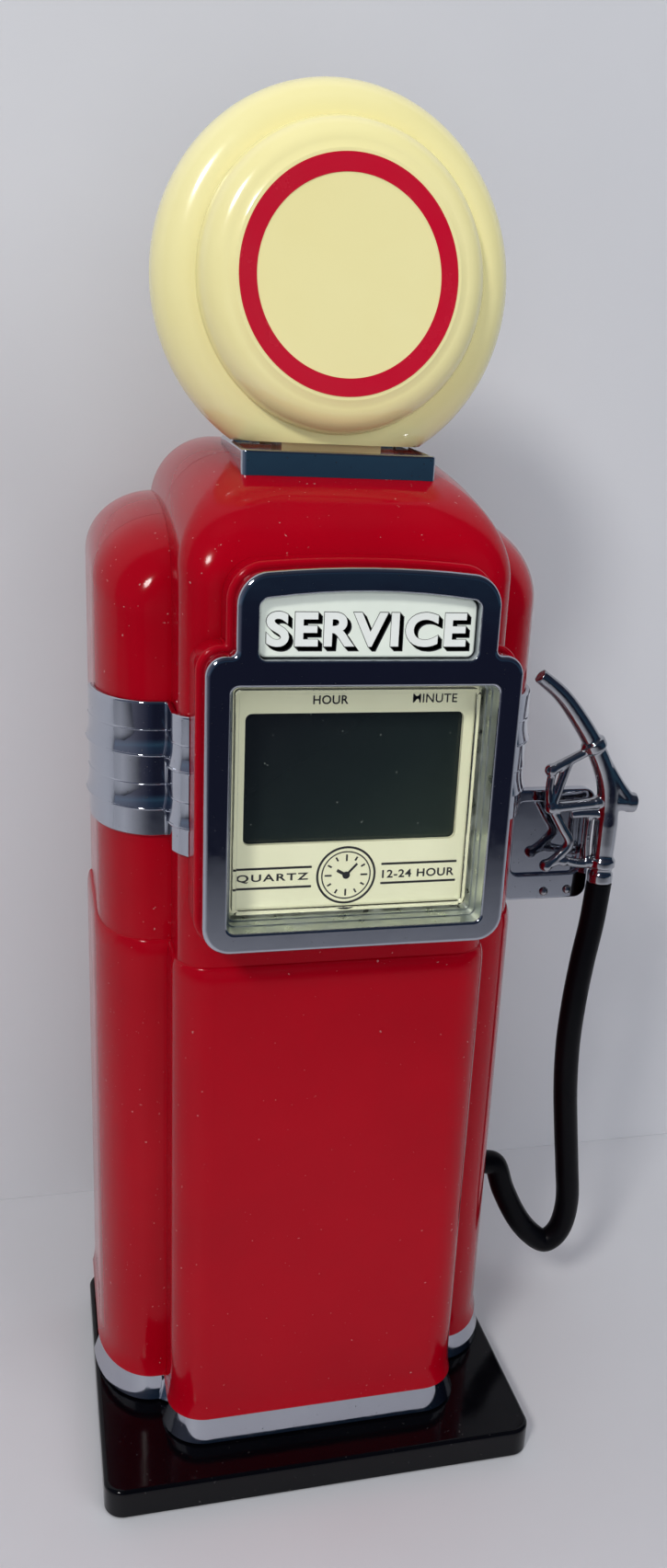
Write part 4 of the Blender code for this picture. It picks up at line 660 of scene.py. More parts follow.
BEZEL_CORNER = 4.2 * MM
SHOULDER = 151.2 * MM
SHOULDER_CORNER = 3.0 * MM
SHOULDER_NOTCH = 0.8 * MM
SIGN_PART_HALF = 19.2 * MM
SIGN_PART_TOP = 162.4 * MM
ARCH_RISE = 1.2 * MM
PLATFORM_OUT = 0.8 * MM
PLATFORM_BACK = -16.9 * MM
MIN_RADIUS = 0.25 * MM
WINDOW_FLARE = 1.0 * MM


def arch(points, half, start, rise):
    """Raise the points above `start` into a gentle arch."""
    return [(x, z + rise * (1.0 - (x / half) ** 2)) if z > start else (x, z) for x, z in points]


def crown(half, top, steps=8):
    """Points along a straight top edge, from right to left, ready to be arched."""
    return [(half * (1.0 - 2.0 * k / steps), top, 0.0) for k in range(1, steps)]


def bezel_outline(grow=0.0):
    """A square clock frame with a narrower arched sign on top, in x and z."""
    half, part = BEZEL_HIGH.x + grow, SIGN_PART_HALF + grow
    low, shoulder, top = BEZEL_LOW.z - grow, SHOULDER + grow, SIGN_PART_TOP + grow
    corner = BEZEL_CORNER + grow
    outer, inner = SHOULDER_CORNER + grow, max(SHOULDER_NOTCH - grow, MIN_RADIUS)
    points = fillet([(-half, low, corner), (half, low, corner), (half, shoulder, outer),
                     (part, shoulder, inner), (part, top, corner),
                     *crown(part - corner, top), (-part, top, corner),
                     (-part, shoulder, inner), (-half, shoulder, outer)], 10)
    return arch(points, part, top - corner, ARCH_RISE)


def sign_outline(grow=0.0):
    half, top = SIGN_HIGH.x + 0.3 * MM + grow, SIGN_HIGH.z - ARCH_RISE + 0.3 * MM + grow
    low = SIGN_LOW.z - 0.3 * MM - grow
    corner = 1.2 * MM + grow
    points = fillet([(-half, low, corner), (half, low, corner), (half, top, corner)]
                    + crown(half - corner, top) + [(-half, top, corner)], 8)
    return arch(points, half, top - 0.1 * MM, ARCH_RISE)


def build_shells():
    """Front and rear shells: outer blocks joined, hollowed, and parted at the seam."""
    far, high = 60.0 * MM, 190.0 * MM
    foot = FRONT_LOW.z
    neck = box((-8.1 * MM, GLOBE_HIGH.y - 4.6 * MM, 160.0 * MM),
               (8.1 * MM, GLOBE_HIGH.y + 4.8 * MM, 195.0 * MM))
    outer = solid(centre_block(), add(wing_block()))
    hollow = [cut(centre_block(WALL)), cut(wing_block(WALL)), cut(neck)]
    works = box((CARD_LOW.x - 0.3 * MM, -40.0 * MM, CARD_LOW.z - 0.3 * MM),
                (CARD_HIGH.x + 0.3 * MM, -5.0 * MM, CARD_HIGH.z + 0.3 * MM))
    platform = slab(bezel_outline(PLATFORM_OUT), PLATFORM_BACK, BEZEL_HIGH.y - 1.3 * MM, upright,
                    end_edge=0.6 * MM)
    front = solid(outer.copy(), *hollow, add(platform), cut(works),
                  ("INTERSECT", box((-far, -far, foot), (far, SEAM, high))))
    replace("front_shell", front, "red_plastic", angle=30.0)
    changes = list(hollow)
    for low, top in SHELL_SCREWS:
        place = middle_of(low, top)
        x, z = place.x, place.z
        sink = [(0.0, 3.1), (5.8, 3.1), (6.2, 3.5), (12.0, 9.3)]
        changes += [add(round_bar((x, SEAM + MM, z), (x, 26.2 * MM, z), 4.2 * MM)),
                    cut(round_bar((x, SEAM - MM, z), (x, 40.0 * MM, z), 1.8 * MM)),
                    cut(lathe((x, top.y - 2.3 * MM, z), (0, 1, 0),
                              [(reach * MM, radius * MM) for reach, radius in sink]))]
    changes.append(("INTERSECT", box((-far, SEAM + SEAM_GAP, foot), (far, far, high))))
    replace("rear_shell", solid(outer, *changes, *rear_openings()), "red_plastic", angle=30.0)


def rear_openings():
    """Battery door seat, control panel opening, sounder slots and hose hole."""
    back, gap, edge = CENTRE_BACK, 0.2 * MM, 0.35 * MM
    room = around(DOOR_LOW, DOOR_HIGH, 0.6 * MM, -1.6 * MM)
    changes = [cut(flared(around(DOOR_LOW, DOOR_HIGH, 1.4 * MM, gap), back,
                          DOOR_LOW.y - 0.2 * MM, edge)),
               cut(slab(room, 20.0 * MM, 40.0 * MM, upright)),
               cut(flared(around(PANEL_LOW, PANEL_HIGH, 1.4 * MM, gap), back, 20.0 * MM, edge))]
    for k in range(-2, 3):
        z = middle_of(*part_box("sounder")).z + k * 3.2 * MM
        slot = rectangle(-6.0 * MM, z - 0.7 * MM, 6.0 * MM, z + 0.7 * MM, 0.65 * MM, 6)
        changes.append(cut(flared(slot, back, 20.0 * MM, 0.25 * MM, steps=3)))
    y, z = SOCKET.y, SOCKET.z
    changes.append(cut(round_bar((30.0 * MM, y, z), (50.0 * MM, y, z), 3.4 * MM)))
    return changes


# ---------------------------------------------------------------- trims

def front_path(offset, shift, end_x, steps=16):
    """Plan path along one side of the body, from the seam round to the front at end_x."""
    half, front = WING_HALF - shift, WING_FRONT + shift
    centre_half, centre_front = CENTRE_HALF - shift, CENTRE_FRONT + shift
    notch = max(0.9 * MM - offset, MIN_RADIUS)
    path = [(half + offset, SEAM)]
    path += quarter_arc(half + offset, front - offset, WING_CORNER - shift + offset,
                        WING_ROUND_END - front + offset, steps)
    path += fillet([(half, front - offset, 0.0), (centre_half + offset, front - offset, notch),
                    (centre_half + offset, centre_front, 0.0)], steps)[1:-1]
    corner = CENTRE_CORNER - shift
    hub_x, hub_y = centre_half - corner, centre_front + corner
    radius = corner + offset
    sweep = math.acos(max(end_x - hub_x, 0.0) / radius)
    for k in range(steps + 1):
        turn = sweep * k / steps
        path.append((hub_x + radius * math.cos(turn), hub_y - radius * math.sin(turn)))
    return path


BAND_TIERS = 5
BAND_OUT = 0.9 * MM
BAND_FLARE = 1.45 * MM
BAND_INNER = 0.15 * MM
BEAD = 0.14 * MM


def band_levels():
    """(z, offset) pairs up one band: plain tiers between tiers that flare to a lower lip."""
    tier = (BAND_HIGH.z - BAND_LOW.z) / BAND_TIERS
    levels = [(BAND_LOW.z, BAND_OUT - 0.2 * MM), (BAND_LOW.z + 0.2 * MM, BAND_OUT)]
    for number in range(1, BAND_TIERS):
        z = BAND_LOW.z + number * tier
        if number % 2:
            levels += [(z - 0.1 * MM, BAND_OUT), (z, BAND_OUT + 0.05 * MM)]
            levels += [(z + 0.01 * MM, BAND_FLARE - 0.2 * MM)]
            levels += [(z + 0.2 * MM * up, BAND_FLARE - 0.2 * MM * inward)
                       for up, inward in rounding(4)[1:]]
            levels += [(z + 0.2 * MM + 0.25 * MM * math.sin(turn),
                        BAND_FLARE - 0.15 * MM * (1.0 - math.cos(turn))) for turn in quarter(3)[1:]]
            flare = BAND_FLARE - 0.15 * MM - BAND_OUT
            levels += [(z + 0.45 * MM + (tier - 0.95 * MM) * k / 10.0,
                        BAND_OUT + flare * (1.0 - k / 10.0) ** 2.6) for k in range(1, 10)]
        else:
            levels += [(z - 0.3 * MM + 0.3 * MM * k / 4.0,
                        BAND_OUT + BEAD * math.sin(2.0 * QUARTER * k / 4.0)) for k in range(5)]
    top = BAND_HIGH.z
    levels += [(top - 0.4 * MM + 0.4 * MM * math.sin(turn),
                BAND_OUT - 0.4 * MM * (1.0 - math.cos(turn))) for turn in quarter(4)]
    return levels


def build_bands():
    end_x = BEZEL_HIGH.x + PLATFORM_OUT + 0.1 * MM
    inside = front_path(BAND_INNER, STEP_IN, end_x)[::-1]
    for name, side in (("left", -1), ("right", 1)):
        loops = []
        for z, offset in band_levels():
            outline = front_path(offset, STEP_IN, end_x) + inside
            loops.append([(side * x, y, z) for x, y in outline])
        replace(f"side_band_{name}", loft(loops), "chrome_plate")


def build_trim():
    """One plated strip around the front half of the foot, leaning back to a rounded top."""
    low, high, inner, edge = 1.3 * MM, 0.0, 0.15 * MM - TRIM_RECESS, 0.25 * MM
    levels = [(TRIM_LOW.z, low - 0.15 * MM), (TRIM_LOW.z + 0.2 * MM, low)]
    for k in range(1, 5):
        levels.append((TRIM_LOW.z + 0.2 * MM + (TRIM_HIGH.z - TRIM_LOW.z - 0.5 * MM) * k / 4.0,
                       low + (high - low) * k / 4.0))
    levels += [(TRIM_HIGH.z - edge * down, high - edge * inward)
               for inward, down in rounding(5)[1:]]
    inside = front_path(inner, 0.0, 0.0)
    loops = []
    for z, offset in levels:
        right = front_path(offset, 0.0, 0.0)
        outline = right + [(-x, y) for x, y in right[::-1]]
        loops.append(flat(outline + [(-x, y) for x, y in inside] + inside[::-1], z))
    replace("foot_trim", loft(loops), "chrome_plate")


def build_base():
    outline = rectangle(BASE_LOW.x, BASE_LOW.y, BASE_HIGH.x, BASE_HIGH.y, 3.6 * MM, 16)
    mesh = slab(outline, 0.0, BASE_HIGH.z, flat, 0.25 * MM, 0.8 * MM, 8)
    bore = [(0.0, 4.5), (1.0, 3.5), (1.4, 3.1), (3.6, 3.1), (3.6, 1.8), (8.0, 1.8)]
    bore = [(reach * MM, radius * MM) for reach, radius in bore]
    places = [middle_of(low, high) for low, high in BASE_SCREWS]
    cuts = [cut(lathe((place.x, place.y, -MM), (0, 0, 1), bore)) for place in places]
    replace("base_plate", solid(mesh, *cuts), "black_plastic")


SCREW_HEAD = 2.6 * MM


def screw_mesh(head, along, radius, length):
    """Pan-head screw with a cross recess and a threaded shank."""
    stations = [(0.0, 0.01 * MM)]
    stations += [(0.75 * MM * (1.0 - math.cos(turn)) + 0.02 * MM,
                  radius * (0.25 + 0.75 * math.sin(turn))) for turn in quarter(6)]
    stations += [(1.7 * MM, radius), (1.7 * MM, 1.2 * MM)]
    reach = 2.4 * MM
    while reach < length - 1.6 * MM:
        stations += [(reach, 0.95 * MM), (reach + 0.3 * MM, 1.2 * MM)]
        reach += 0.6 * MM
    stations += [(length - 1.2 * MM, 0.95 * MM), (length, 0.15 * MM)]
    mesh = lathe(head, along, stations, 32)
    along = Vector(along)
    side = along.orthogonal().normalized()
    other = along.cross(side)
    cuts = []
    for first, second in ((side, other), (other, side)):
        half, width = first * radius * 0.62, second * 0.28 * MM
        corners = [half + width, half - width, -half - width, -half + width]
        loops = [[Vector(head) + corner * size + along * depth for corner in corners]
                 for depth, size in ((-0.5 * MM, 1.0), (0.9 * MM, 0.75))]
        cuts.append(cut(loft(loops)))
    return solid(mesh, *cuts)


def build_screws():
    for number in range(4):
        low, high = BASE_SCREWS[number]
        place = middle_of(low, high)
        mesh = screw_mesh((place.x, place.y, low.z), (0, 0, 1), SCREW_HEAD, high.z - low.z)
        replace(f"base_screw_{number + 1}", mesh, "steel")
        low, high = SHELL_SCREWS[number]
        place = middle_of(low, high)
        mesh = screw_mesh((place.x, high.y, place.z), (0, -1, 0), SCREW_HEAD, high.y - low.y)
        replace(f"shell_screw_{number + 1}", mesh, "steel")


# ---------------------------------------------------------------- bezel, sign and dial

def window_outline(grow=0.0):
    """The clock window in x and z, `grow` larger all round than where the lens sits in it."""
    grow += 0.3 * MM
    return around(LENS_LOW, LENS_HIGH, 0.5 * MM + 0.6 * grow, grow, 6)


def window_cutter(front):
    """Opening whose walls step and flare forward to a rounded rim."""
    rim = 0.4 * MM
    levels = [(front - MM, WINDOW_FLARE + rim)]
    levels += [(front + rim * deep, WINDOW_FLARE + rim * out) for deep, out in rounding(5)]
    levels += [(front + 2.3 * MM, 0.75 * MM), (front + 2.35 * MM, 0.6 * MM),
               (front + 3.6 * MM, 0.4 * MM), (front + 3.65 * MM, 0.25 * MM),
               (front + 4.7 * MM, 0.0), (0.0, 0.0)]
    return loft([upright(window_outline(grow), y) for y, grow in levels])


def soften_window(mesh, front):
    """Satin plating on the walls of the clock window, behind its rim."""
    mesh.materials.append(SATIN_PLATE)
    outline = window_outline(WINDOW_FLARE + 0.1 * MM)
    left, right = min(x for x, z in outline), max(x for x, z in outline)
    low, high = min(z for x, z in outline), max(z for x, z in outline)
    for face in mesh.polygons:
        x, y, z = face.center
        if y > front and left < x < right and low < z < high:
            face.material_index = 1


def build_bezel():
    front = BEZEL_LOW.y
    back = BEZEL_HIGH.y - 1.6 * MM
    frame_mesh = slab(bezel_outline(), back, front, upright, 0.3 * MM, 0.75 * MM, 8)
    collar = around(LENS_LOW, LENS_HIGH, 0.7 * MM, 1.3 * MM, 6)
    mesh = solid(frame_mesh, add(slab(collar, BEZEL_HIGH.y, back - MM, upright)),
                 cut(window_cutter(front)), cut(flared(sign_outline(), front, 0.0, 0.25 * MM)))
    bezel = replace("clock_bezel", mesh, "chrome_plate")
    soften_window(bezel.data, front + 0.35 * MM)
    plate = slab(sign_outline(-0.12 * MM), SIGN_HIGH.y, SIGN_LOW.y, upright, 0.0, 0.4 * MM)
    replace("sign_plate", plate, "sign_card")
    build_lens()


def build_lens():
    """Clear cover: a flat pane with a low raised rim."""
    high = LENS_LOW.y - 0.8 * MM
    steps = [(LENS_HIGH.y, 0.1), (LENS_HIGH.y - 0.1 * MM, 0.0), (high + 0.2 * MM, 0.0),
             (high + 0.05 * MM, 0.06), (high, 0.2), (high, 0.4), (high + 0.05 * MM, 0.54),
             (high + 0.2 * MM, 0.6), (LENS_LOW.y - 0.15 * MM, 0.64), (LENS_LOW.y, 0.8)]
    loops = [upright(around(LENS_LOW, LENS_HIGH, (0.9 - 0.8 * inset) * MM, -inset * MM, 6), y)
             for y, inset in steps]
    replace("clock_lens", loft(loops), "clear_plastic")


def text_mesh(words, height, middle, y, spread=1.0, weight=0.0, thick=0.03 * MM, width=None):
    """Standing letters centred on middle (x, z), their front faces at depth y."""
    curve = bpy.data.curves.new("words", "FONT")
    curve.body = words
    curve.size = 1.0
    curve.space_character = spread
    curve.offset = weight
    curve.extrude = 0.5
    curve.resolution_u = 6
    made = temporary(curve)
    bpy.context.view_layer.update()
    mesh = evaluated(made)
    bm = bmesh.new()
    bm.from_mesh(mesh)
    bmesh.ops.remove_doubles(bm, verts=bm.verts, dist=0.0002)
    flaps = [face for face in bm.faces if sum(edge.is_boundary for edge in face.edges) > 1]
    bmesh.ops.delete(bm, geom=flaps, context="FACES")
    bmesh.ops.dissolve_limit(bm, angle_limit=math.radians(0.5), verts=bm.verts, edges=bm.edges)
    mesh = closed(finished(bm, "words"))
    xs = [v.co.x for v in mesh.vertices]
    ys = [v.co.y for v in mesh.vertices]
    tall, wide = max(ys) - min(ys), max(xs) - min(xs)
    scale_z = height / tall
    scale_x = width / wide if width else scale_z
    mid_x, mid_y = (max(xs) + min(xs)) / 2.0, (max(ys) + min(ys)) / 2.0
    for vert in mesh.vertices:
        x, up, depth = vert.co
        vert.co = (middle[0] + (x - mid_x) * scale_x, y + thick * (0.5 - depth),
                   middle[1] + (up - mid_y) * scale_z)
    return mesh


def turned(profile, centre, steps=128):
    """Closed solid turned about a level axis through centre, from a loop of (radius, y)."""
    bm = bmesh.new()
    hub_x, hub_y, hub_z = centre
    poles = {i: bm.verts.new((hub_x, hub_y + y, hub_z)) for i, (r, y) in enumerate(profile)
             if r == 0.0}
    rows = [[poles.get(i) or bm.verts.new((hub_x + r * math.cos(a), hub_y + y,
                                           hub_z + r * math.sin(a)))
             for i, (r, y) in enumerate(profile)] for a in circle(steps)]
    count = len(profile)
    for k in range(steps):
        here, there = rows[k], rows[(k + 1) % steps]
        for i in range(count):
            j = (i + 1) % count
            corners = list(dict.fromkeys([here[i], here[j], there[j], there[i]]))
            if len(corners) > 2:
                bm.faces.new(corners)
    return finished(bm, "turned")


def ring_mesh(middle, outer, inner, y, thick, steps=64):
    """Flat washer standing at depth y."""
    section = [(inner, y), (outer, y), (outer, y + thick), (inner, y + thick)]
    return turned(section, (middle[0], 0.0, middle[1]), steps)


def bar_mesh(start, end, width, y, thick):
    """Thin printed bar between two (x, z) points."""
    start, end = Vector(start), Vector(end)
    across = (end - start).orthogonal().normalized() * width / 2.0
    outline = [start + across, end + across, end - across, start - across]
    return loft([upright(outline, y), upright(outline, y + thick)])


def build_sign_letters():
    face = SIGN_LOW.y
    middle = (-0.2 * MM, 154.75 * MM)
    size = dict(height=5.15 * MM, width=29.6 * MM, spread=1.16)
    parts = [text_mesh("SERVICE", middle=(middle[0] + drop, middle[1] - drop),
                       y=face - 0.03 * MM, weight=0.045, **size)
             for drop in (0.0, 0.15 * MM, 0.3 * MM, 0.45 * MM, 0.6 * MM)]
    piece("sign_letter_shadow", merged(parts), INK)
    inner = dict(size, height=4.95 * MM, width=29.4 * MM)
    piece("sign_letter_faces", text_mesh("SERVICE", middle=middle, y=face - 0.07 * MM,
                                         weight=0.034, thick=0.04 * MM, **inner),
          LETTER_FACE)


def build_dial_print():
    """Generic dial lettering, rules, and a small clock-face mark."""
    y, thick = CARD_LOW.y - 0.035 * MM, 0.03 * MM
    parts = [text_mesh(words, tall * MM, (x * MM, z * MM), y, spread, weight,
                       width=wide and wide * MM)
             for words, tall, x, z, spread, weight, wide in (
                 ("HOUR", 1.35, -4.1, 143.6, 1.05, 0.018, None),
                 ("MINUTE", 1.35, 12.0, 143.7, 1.05, 0.01, None),
                 ("QUARTZ", 1.4, -12.1, 115.8, 1.2, 0.02, 11.2),
                 ("12-24 HOUR", 1.35, 11.2, 115.7, 1.1, 0.02, 11.8))]
    for left, right in ((-18.3, -6.0), (5.1, 17.4)):
        for z in (117.4, 114.2):
            parts.append(bar_mesh((left * MM, z * MM), (right * MM, z * MM), 0.36 * MM, y, thick))
    middle = (-0.5 * MM, 115.8 * MM)
    for outer, inner in ((4.75, 4.4), (3.95, 3.75)):
        parts.append(ring_mesh(middle, outer * MM, inner * MM, y, thick))
    for hour in range(12):
        turn = 4.0 * QUARTER * hour / 12.0
        way = Vector((math.sin(turn), math.cos(turn)))
        start = Vector(middle) + way * (2.7 if hour % 3 else 2.3) * MM
        parts.append(bar_mesh(start, Vector(middle) + way * 3.4 * MM, 0.28 * MM, y, thick))
    for turn, reach, width in ((-1.05, 1.7, 0.5), (0.75, 2.5, 0.36)):
        way = Vector((math.sin(turn), math.cos(turn)))
        parts.append(bar_mesh(Vector(middle) - way * 0.5 * MM, Vector(middle) + way * reach * MM,
                              width * MM, y - thick, thick))
    parts.append(ring_mesh(middle, 0.6 * MM, 0.05 * MM, y - 2 * thick, thick, 24))
    piece("dial_print", merged(parts), INK)


# ---------------------------------------------------------------- globe

GLOBE_Y = GLOBE_HIGH.y + 0.15 * MM
GLOBE_RADIUS = GLOBE_HIGH.x
GLOBE_Z = GLOBE_HIGH.z - GLOBE_RADIUS
RIM_DEPTH = 6.6 * MM
RIM_BULGE = 5.4 * MM
DISC_RADIUS = 21.9 * MM
DISC_ROUND = 4.2 * MM
FACE_DEPTH = 12.1 * MM
GLOBE_WALL = 1.5 * MM
GLOBE_FLAT = 179.1 * MM
HALF_SEAM = 0.07 * MM
RING_INNER = 13.8 * MM


def globe_profile(inset, steps):
    """Half section of the globe, from the rim at its seam to the edge of its flat face."""
    rim, root = GLOBE_RADIUS - inset, DISC_RADIUS - inset
    shoulder, step = RIM_DEPTH - inset, 0.25 * MM
    points = [(rim - RIM_BULGE * (1.0 - math.cos(turn)), -shoulder * math.sin(turn))
              for turn in quarter(steps)]
    points += [(root + step * out, -shoulder - step * deep) for deep, out in rounding(3)[1:]]
    rise = FACE_DEPTH - RIM_DEPTH - 0.4 * MM - step
    points += [(root - DISC_ROUND * (1.0 - math.cos(turn)), -shoulder - step
                - rise * math.sin(turn)) for turn in quarter(steps)[1:]]
    return points + [(17.0 * MM, -(FACE_DEPTH - inset) + 0.06 * MM),
                     (16.8 * MM, -(FACE_DEPTH - inset))]


def build_globe():
    centre = (0.0, GLOBE_Y, GLOBE_Z)
    for name, side in (("front", 1.0), ("rear", -1.0)):
        loop = globe_profile(0.0, 14)
        loop += [(0.0, -FACE_DEPTH), (0.0, -FACE_DEPTH + GLOBE_WALL)]
        loop += globe_profile(GLOBE_WALL, 4)[::-1]
        loop = [(r, (y - HALF_SEAM) * side) for r, y in loop]
        near, far = sorted((-side * HALF_SEAM, -side * 4.4 * MM))
        neck = box((-8.0 * MM, GLOBE_Y + near, GLOBE_LOW.z),
                   (8.0 * MM, GLOBE_Y + far, GLOBE_FLAT + 2.4 * MM))
        below = box((-30.0 * MM, -30.0 * MM, 160.0 * MM), (30.0 * MM, 40.0 * MM, GLOBE_FLAT))
        mesh = solid(turned(loop, centre), cut(below), add(neck))
        replace(f"globe_{name}", mesh, "cream_plastic", angle=40.0)
    face = GLOBE_Y - FACE_DEPTH - HALF_SEAM
    ring = ring_mesh((0.0, GLOBE_Z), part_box("globe_ring")[1].x, RING_INNER, face - 0.08 * MM,
                     0.07 * MM, 160)
    replace("globe_ring", ring, "crimson_ink")


def build_holder():
    """Plated collar that stands on the sloping roof around the globe's foot."""
    front, back = HOLDER_LOW.y, HOLDER_HIGH.y
    top_front, top_back = 178.0 * MM, HOLDER_HIGH.z
    rise = (top_back - top_front) / (back - front)
    outline = rectangle(HOLDER_LOW.x, front, HOLDER_HIGH.x, back, 0.9 * MM, 6)

    def sloped(points, lower):
        return [(x, y, top_front + rise * (y - front) - lower) for x, y in points]

    edge = 0.35 * MM
    inner = rectangle(HOLDER_LOW.x + MM, front + MM, HOLDER_HIGH.x - MM, back - MM, 0.4 * MM, 6)
    loops = [flat(outline, 168.0 * MM)]
    loops += [sloped(shrink(outline, edge * inward), edge * down) for inward, down in rounding(5)]
    hole = [flat(inner, 160.0 * MM), sloped(inner, 0.3 * MM),
            sloped(shrink(inner, -0.3 * MM), 0.0), sloped(shrink(inner, -0.3 * MM), -MM)]
    mesh = solid(loft(loops), cut(loft(hole)), cut(centre_block(grow=0.05 * MM)))
    replace("globe_holder", mesh, "chrome_plate")


# ---------------------------------------------------------------- nozzle, cradle and hose

NOZZLE_Y = (NOZZLE_LOW.y + NOZZLE_HIGH.y) / 2.0
HANDLE_X = 56.7 * MM
NOZZLE_VOXEL = 0.2 * MM


def in_plane(points):
    return [Vector((x * MM, NOZZLE_Y, z * MM)) for x, z in points]


def tapered_radii(count, sizes):
    """Radii spread evenly along a path through the given sizes."""
    radii = []
    for i in range(count):
        place = i / (count - 1) * (len(sizes) - 1)
        k = min(int(place), len(sizes) - 2)
        radii.append((sizes[k] + (sizes[k + 1] - sizes[k]) * (place - k)) * MM)
    return radii


def build_nozzle():
    """Spout, valve body, handle and guard, cast in one and blended where they meet."""
    bars = [([(40.6, 141.2), (45.1, 137.7), (48.9, 133.3), (52.5, 128.2), (55.3, 122.8),
              (56.6, 117.6), (56.7, 112.0)], (1.35, 1.5, 1.65, 1.8, 1.9, 2.05, 2.1)),
            ([(56.7, 116.5), (56.7, 113.0), (56.7, 109.0), (56.7, 106.4)], (2.0, 2.2, 2.15, 2.0)),
            ([(52.4, 127.6), (48.4, 125.6), (44.8, 123.7)], (0.9, 0.95, 1.05)),
            ([(47.8, 125.0), (46.6, 120.6), (45.4, 116.4)], (0.95, 0.9, 1.0)),
            ([(52.8, 128.0), (55.4, 124.0), (58.0, 120.2), (60.3, 117.4)], (1.5, 1.5, 1.6, 1.7)),
            ([(55.0, 121.5), (57.5, 119.0), (59.2, 117.2)], (1.2, 1.5, 1.7)),
            ([(44.9, 123.5), (44.6, 120.0), (45.0, 116.6)], (0.8, 0.75, 0.85)),
            ([(45.2, 116.3), (50.5, 116.7), (56.0, 117.2)], (1.1, 1.0, 1.2)),
            ([(49.4, 114.9), (52.6, 115.0), (56.0, 114.8)], (0.75, 0.85, 1.0)),
            ([(45.4, 116.4), (47.8, 112.6), (49.6, 109.3), (47.6, 106.7), (45.4, 104.9)],
             (0.9, 0.95, 1.0, 0.9, 1.0)),
            ([(45.4, 105.1), (48.4, 105.9), (52.0, 105.2), (56.0, 105.2)], (0.95, 0.85, 0.9, 1.1)),
            ([(53.4, 114.8), (53.2, 110.0), (53.6, 105.4)], (0.6, 0.6, 0.6))]
    parts = []
    for points, sizes in bars:
        path = smooth_path(in_plane(points), 8)
        parts.append(tube(path, tapered_radii(len(path), sizes), 20))
    bottom = NOZZLE_LOW.z
    collars = [((52.0, 129.1), (53.0, 127.4), 2.3), ((55.5, 117.5), (61.9, 116.95), 1.75),
               ((60.3, 117.1), (62.0, 116.95), 1.95)]
    for start, end, radius in collars:
        parts.append(round_bar(*in_plane([start, end]), radius * MM, 0.3 * MM))
    for x, z, radius in ((44.6, 123.6, 1.25), (45.3, 116.4, 1.3), (54.3, 117.2, 1.3),
                         (45.4, 105.0, 1.25), (48.9, 105.8, 1.1), (53.7, 105.4, 1.15)):
        ball = [(-radius * math.cos(2.0 * t) * MM, radius * math.sin(2.0 * t) * MM + 0.001 * MM)
                for t in quarter(10)]
        parts.append(lathe((x * MM, NOZZLE_Y, z * MM), (0, 1, 0), ball, 20))
    ferrule = [(0.0, 2.2), (0.15, 2.4), (1.9, 2.4), (2.1, 2.15), (3.0, 2.1), (3.2, 2.55),
               (4.6, 2.55), (4.9, 2.2), (5.6, 2.0)]
    parts.append(lathe((HANDLE_X, NOZZLE_Y, bottom), (0, 0, 1),
                       [(reach * MM, radius * MM) for reach, radius in ferrule], 32))
    rough = temporary(merged(parts))
    remesh = rough.modifiers.new("remesh", "REMESH")
    remesh.mode = "VOXEL"
    remesh.voxel_size = NOZZLE_VOXEL
    relax = rough.modifiers.new("relax", "SMOOTH")
    relax.factor = 0.5
    relax.iterations = 6
    replace("nozzle", evaluated(rough), "chrome_plate", NOZZLE_PLATE, "nozzle", 180.0)


def build_cradle():
    """Plate behind the nozzle, with a raised rim around a recessed panel."""
    side, out = CRADLE_LOW.x, CRADLE_HIGH.x
    front, back = CRADLE_LOW.y, CRADLE_LOW.y + 2.2 * MM
    low, high = CRADLE_LOW.z, CRADLE_HIGH.z
    outline = rectangle(side + 0.4 * MM, low, out, high, 2.4 * MM, 10)
    recess = rectangle(side + 2.2 * MM, low + 5.1 * MM, out - 2.0 * MM, high - 2.4 * MM,
                       1.8 * MM, 10)
    flange = box((side, front + 0.5 * MM, low + 4.0 * MM),
                 (side + 1.3 * MM, CRADLE_HIGH.y, high - 2.0 * MM))
    changes = [cut(flared(recess, front, front + 0.9 * MM, 0.35 * MM)), add(flange)]
    for node in ("cradle_rivet_1", "cradle_rivet_2"):
        place = middle_of(*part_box(node))
        x, z = place.x, place.z
        hole = round_bar((x, front - MM, z), (x, back + MM, z), 0.7 * MM, steps=24)
        changes.append(cut(hole))
        dome = [(0.001 * MM, 0.02 * MM)]
        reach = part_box(node)[1].x - x
        dome += [(0.55 * MM * (1.0 - math.cos(turn)) + 0.01 * MM, reach * math.sin(turn))
                 for turn in quarter(6)[1:]]
        dome += [(0.68 * MM, 0.52 * MM), (2.6 * MM, 0.5 * MM)]
        replace(node, lathe((x, front - 0.7 * MM, z), (0, 1, 0), dome, 32), "steel")
    mesh = solid(slab(outline, back, front, upright, 0.3 * MM, 0.45 * MM), *changes)
    replace("nozzle_cradle", mesh, "chrome_plate")


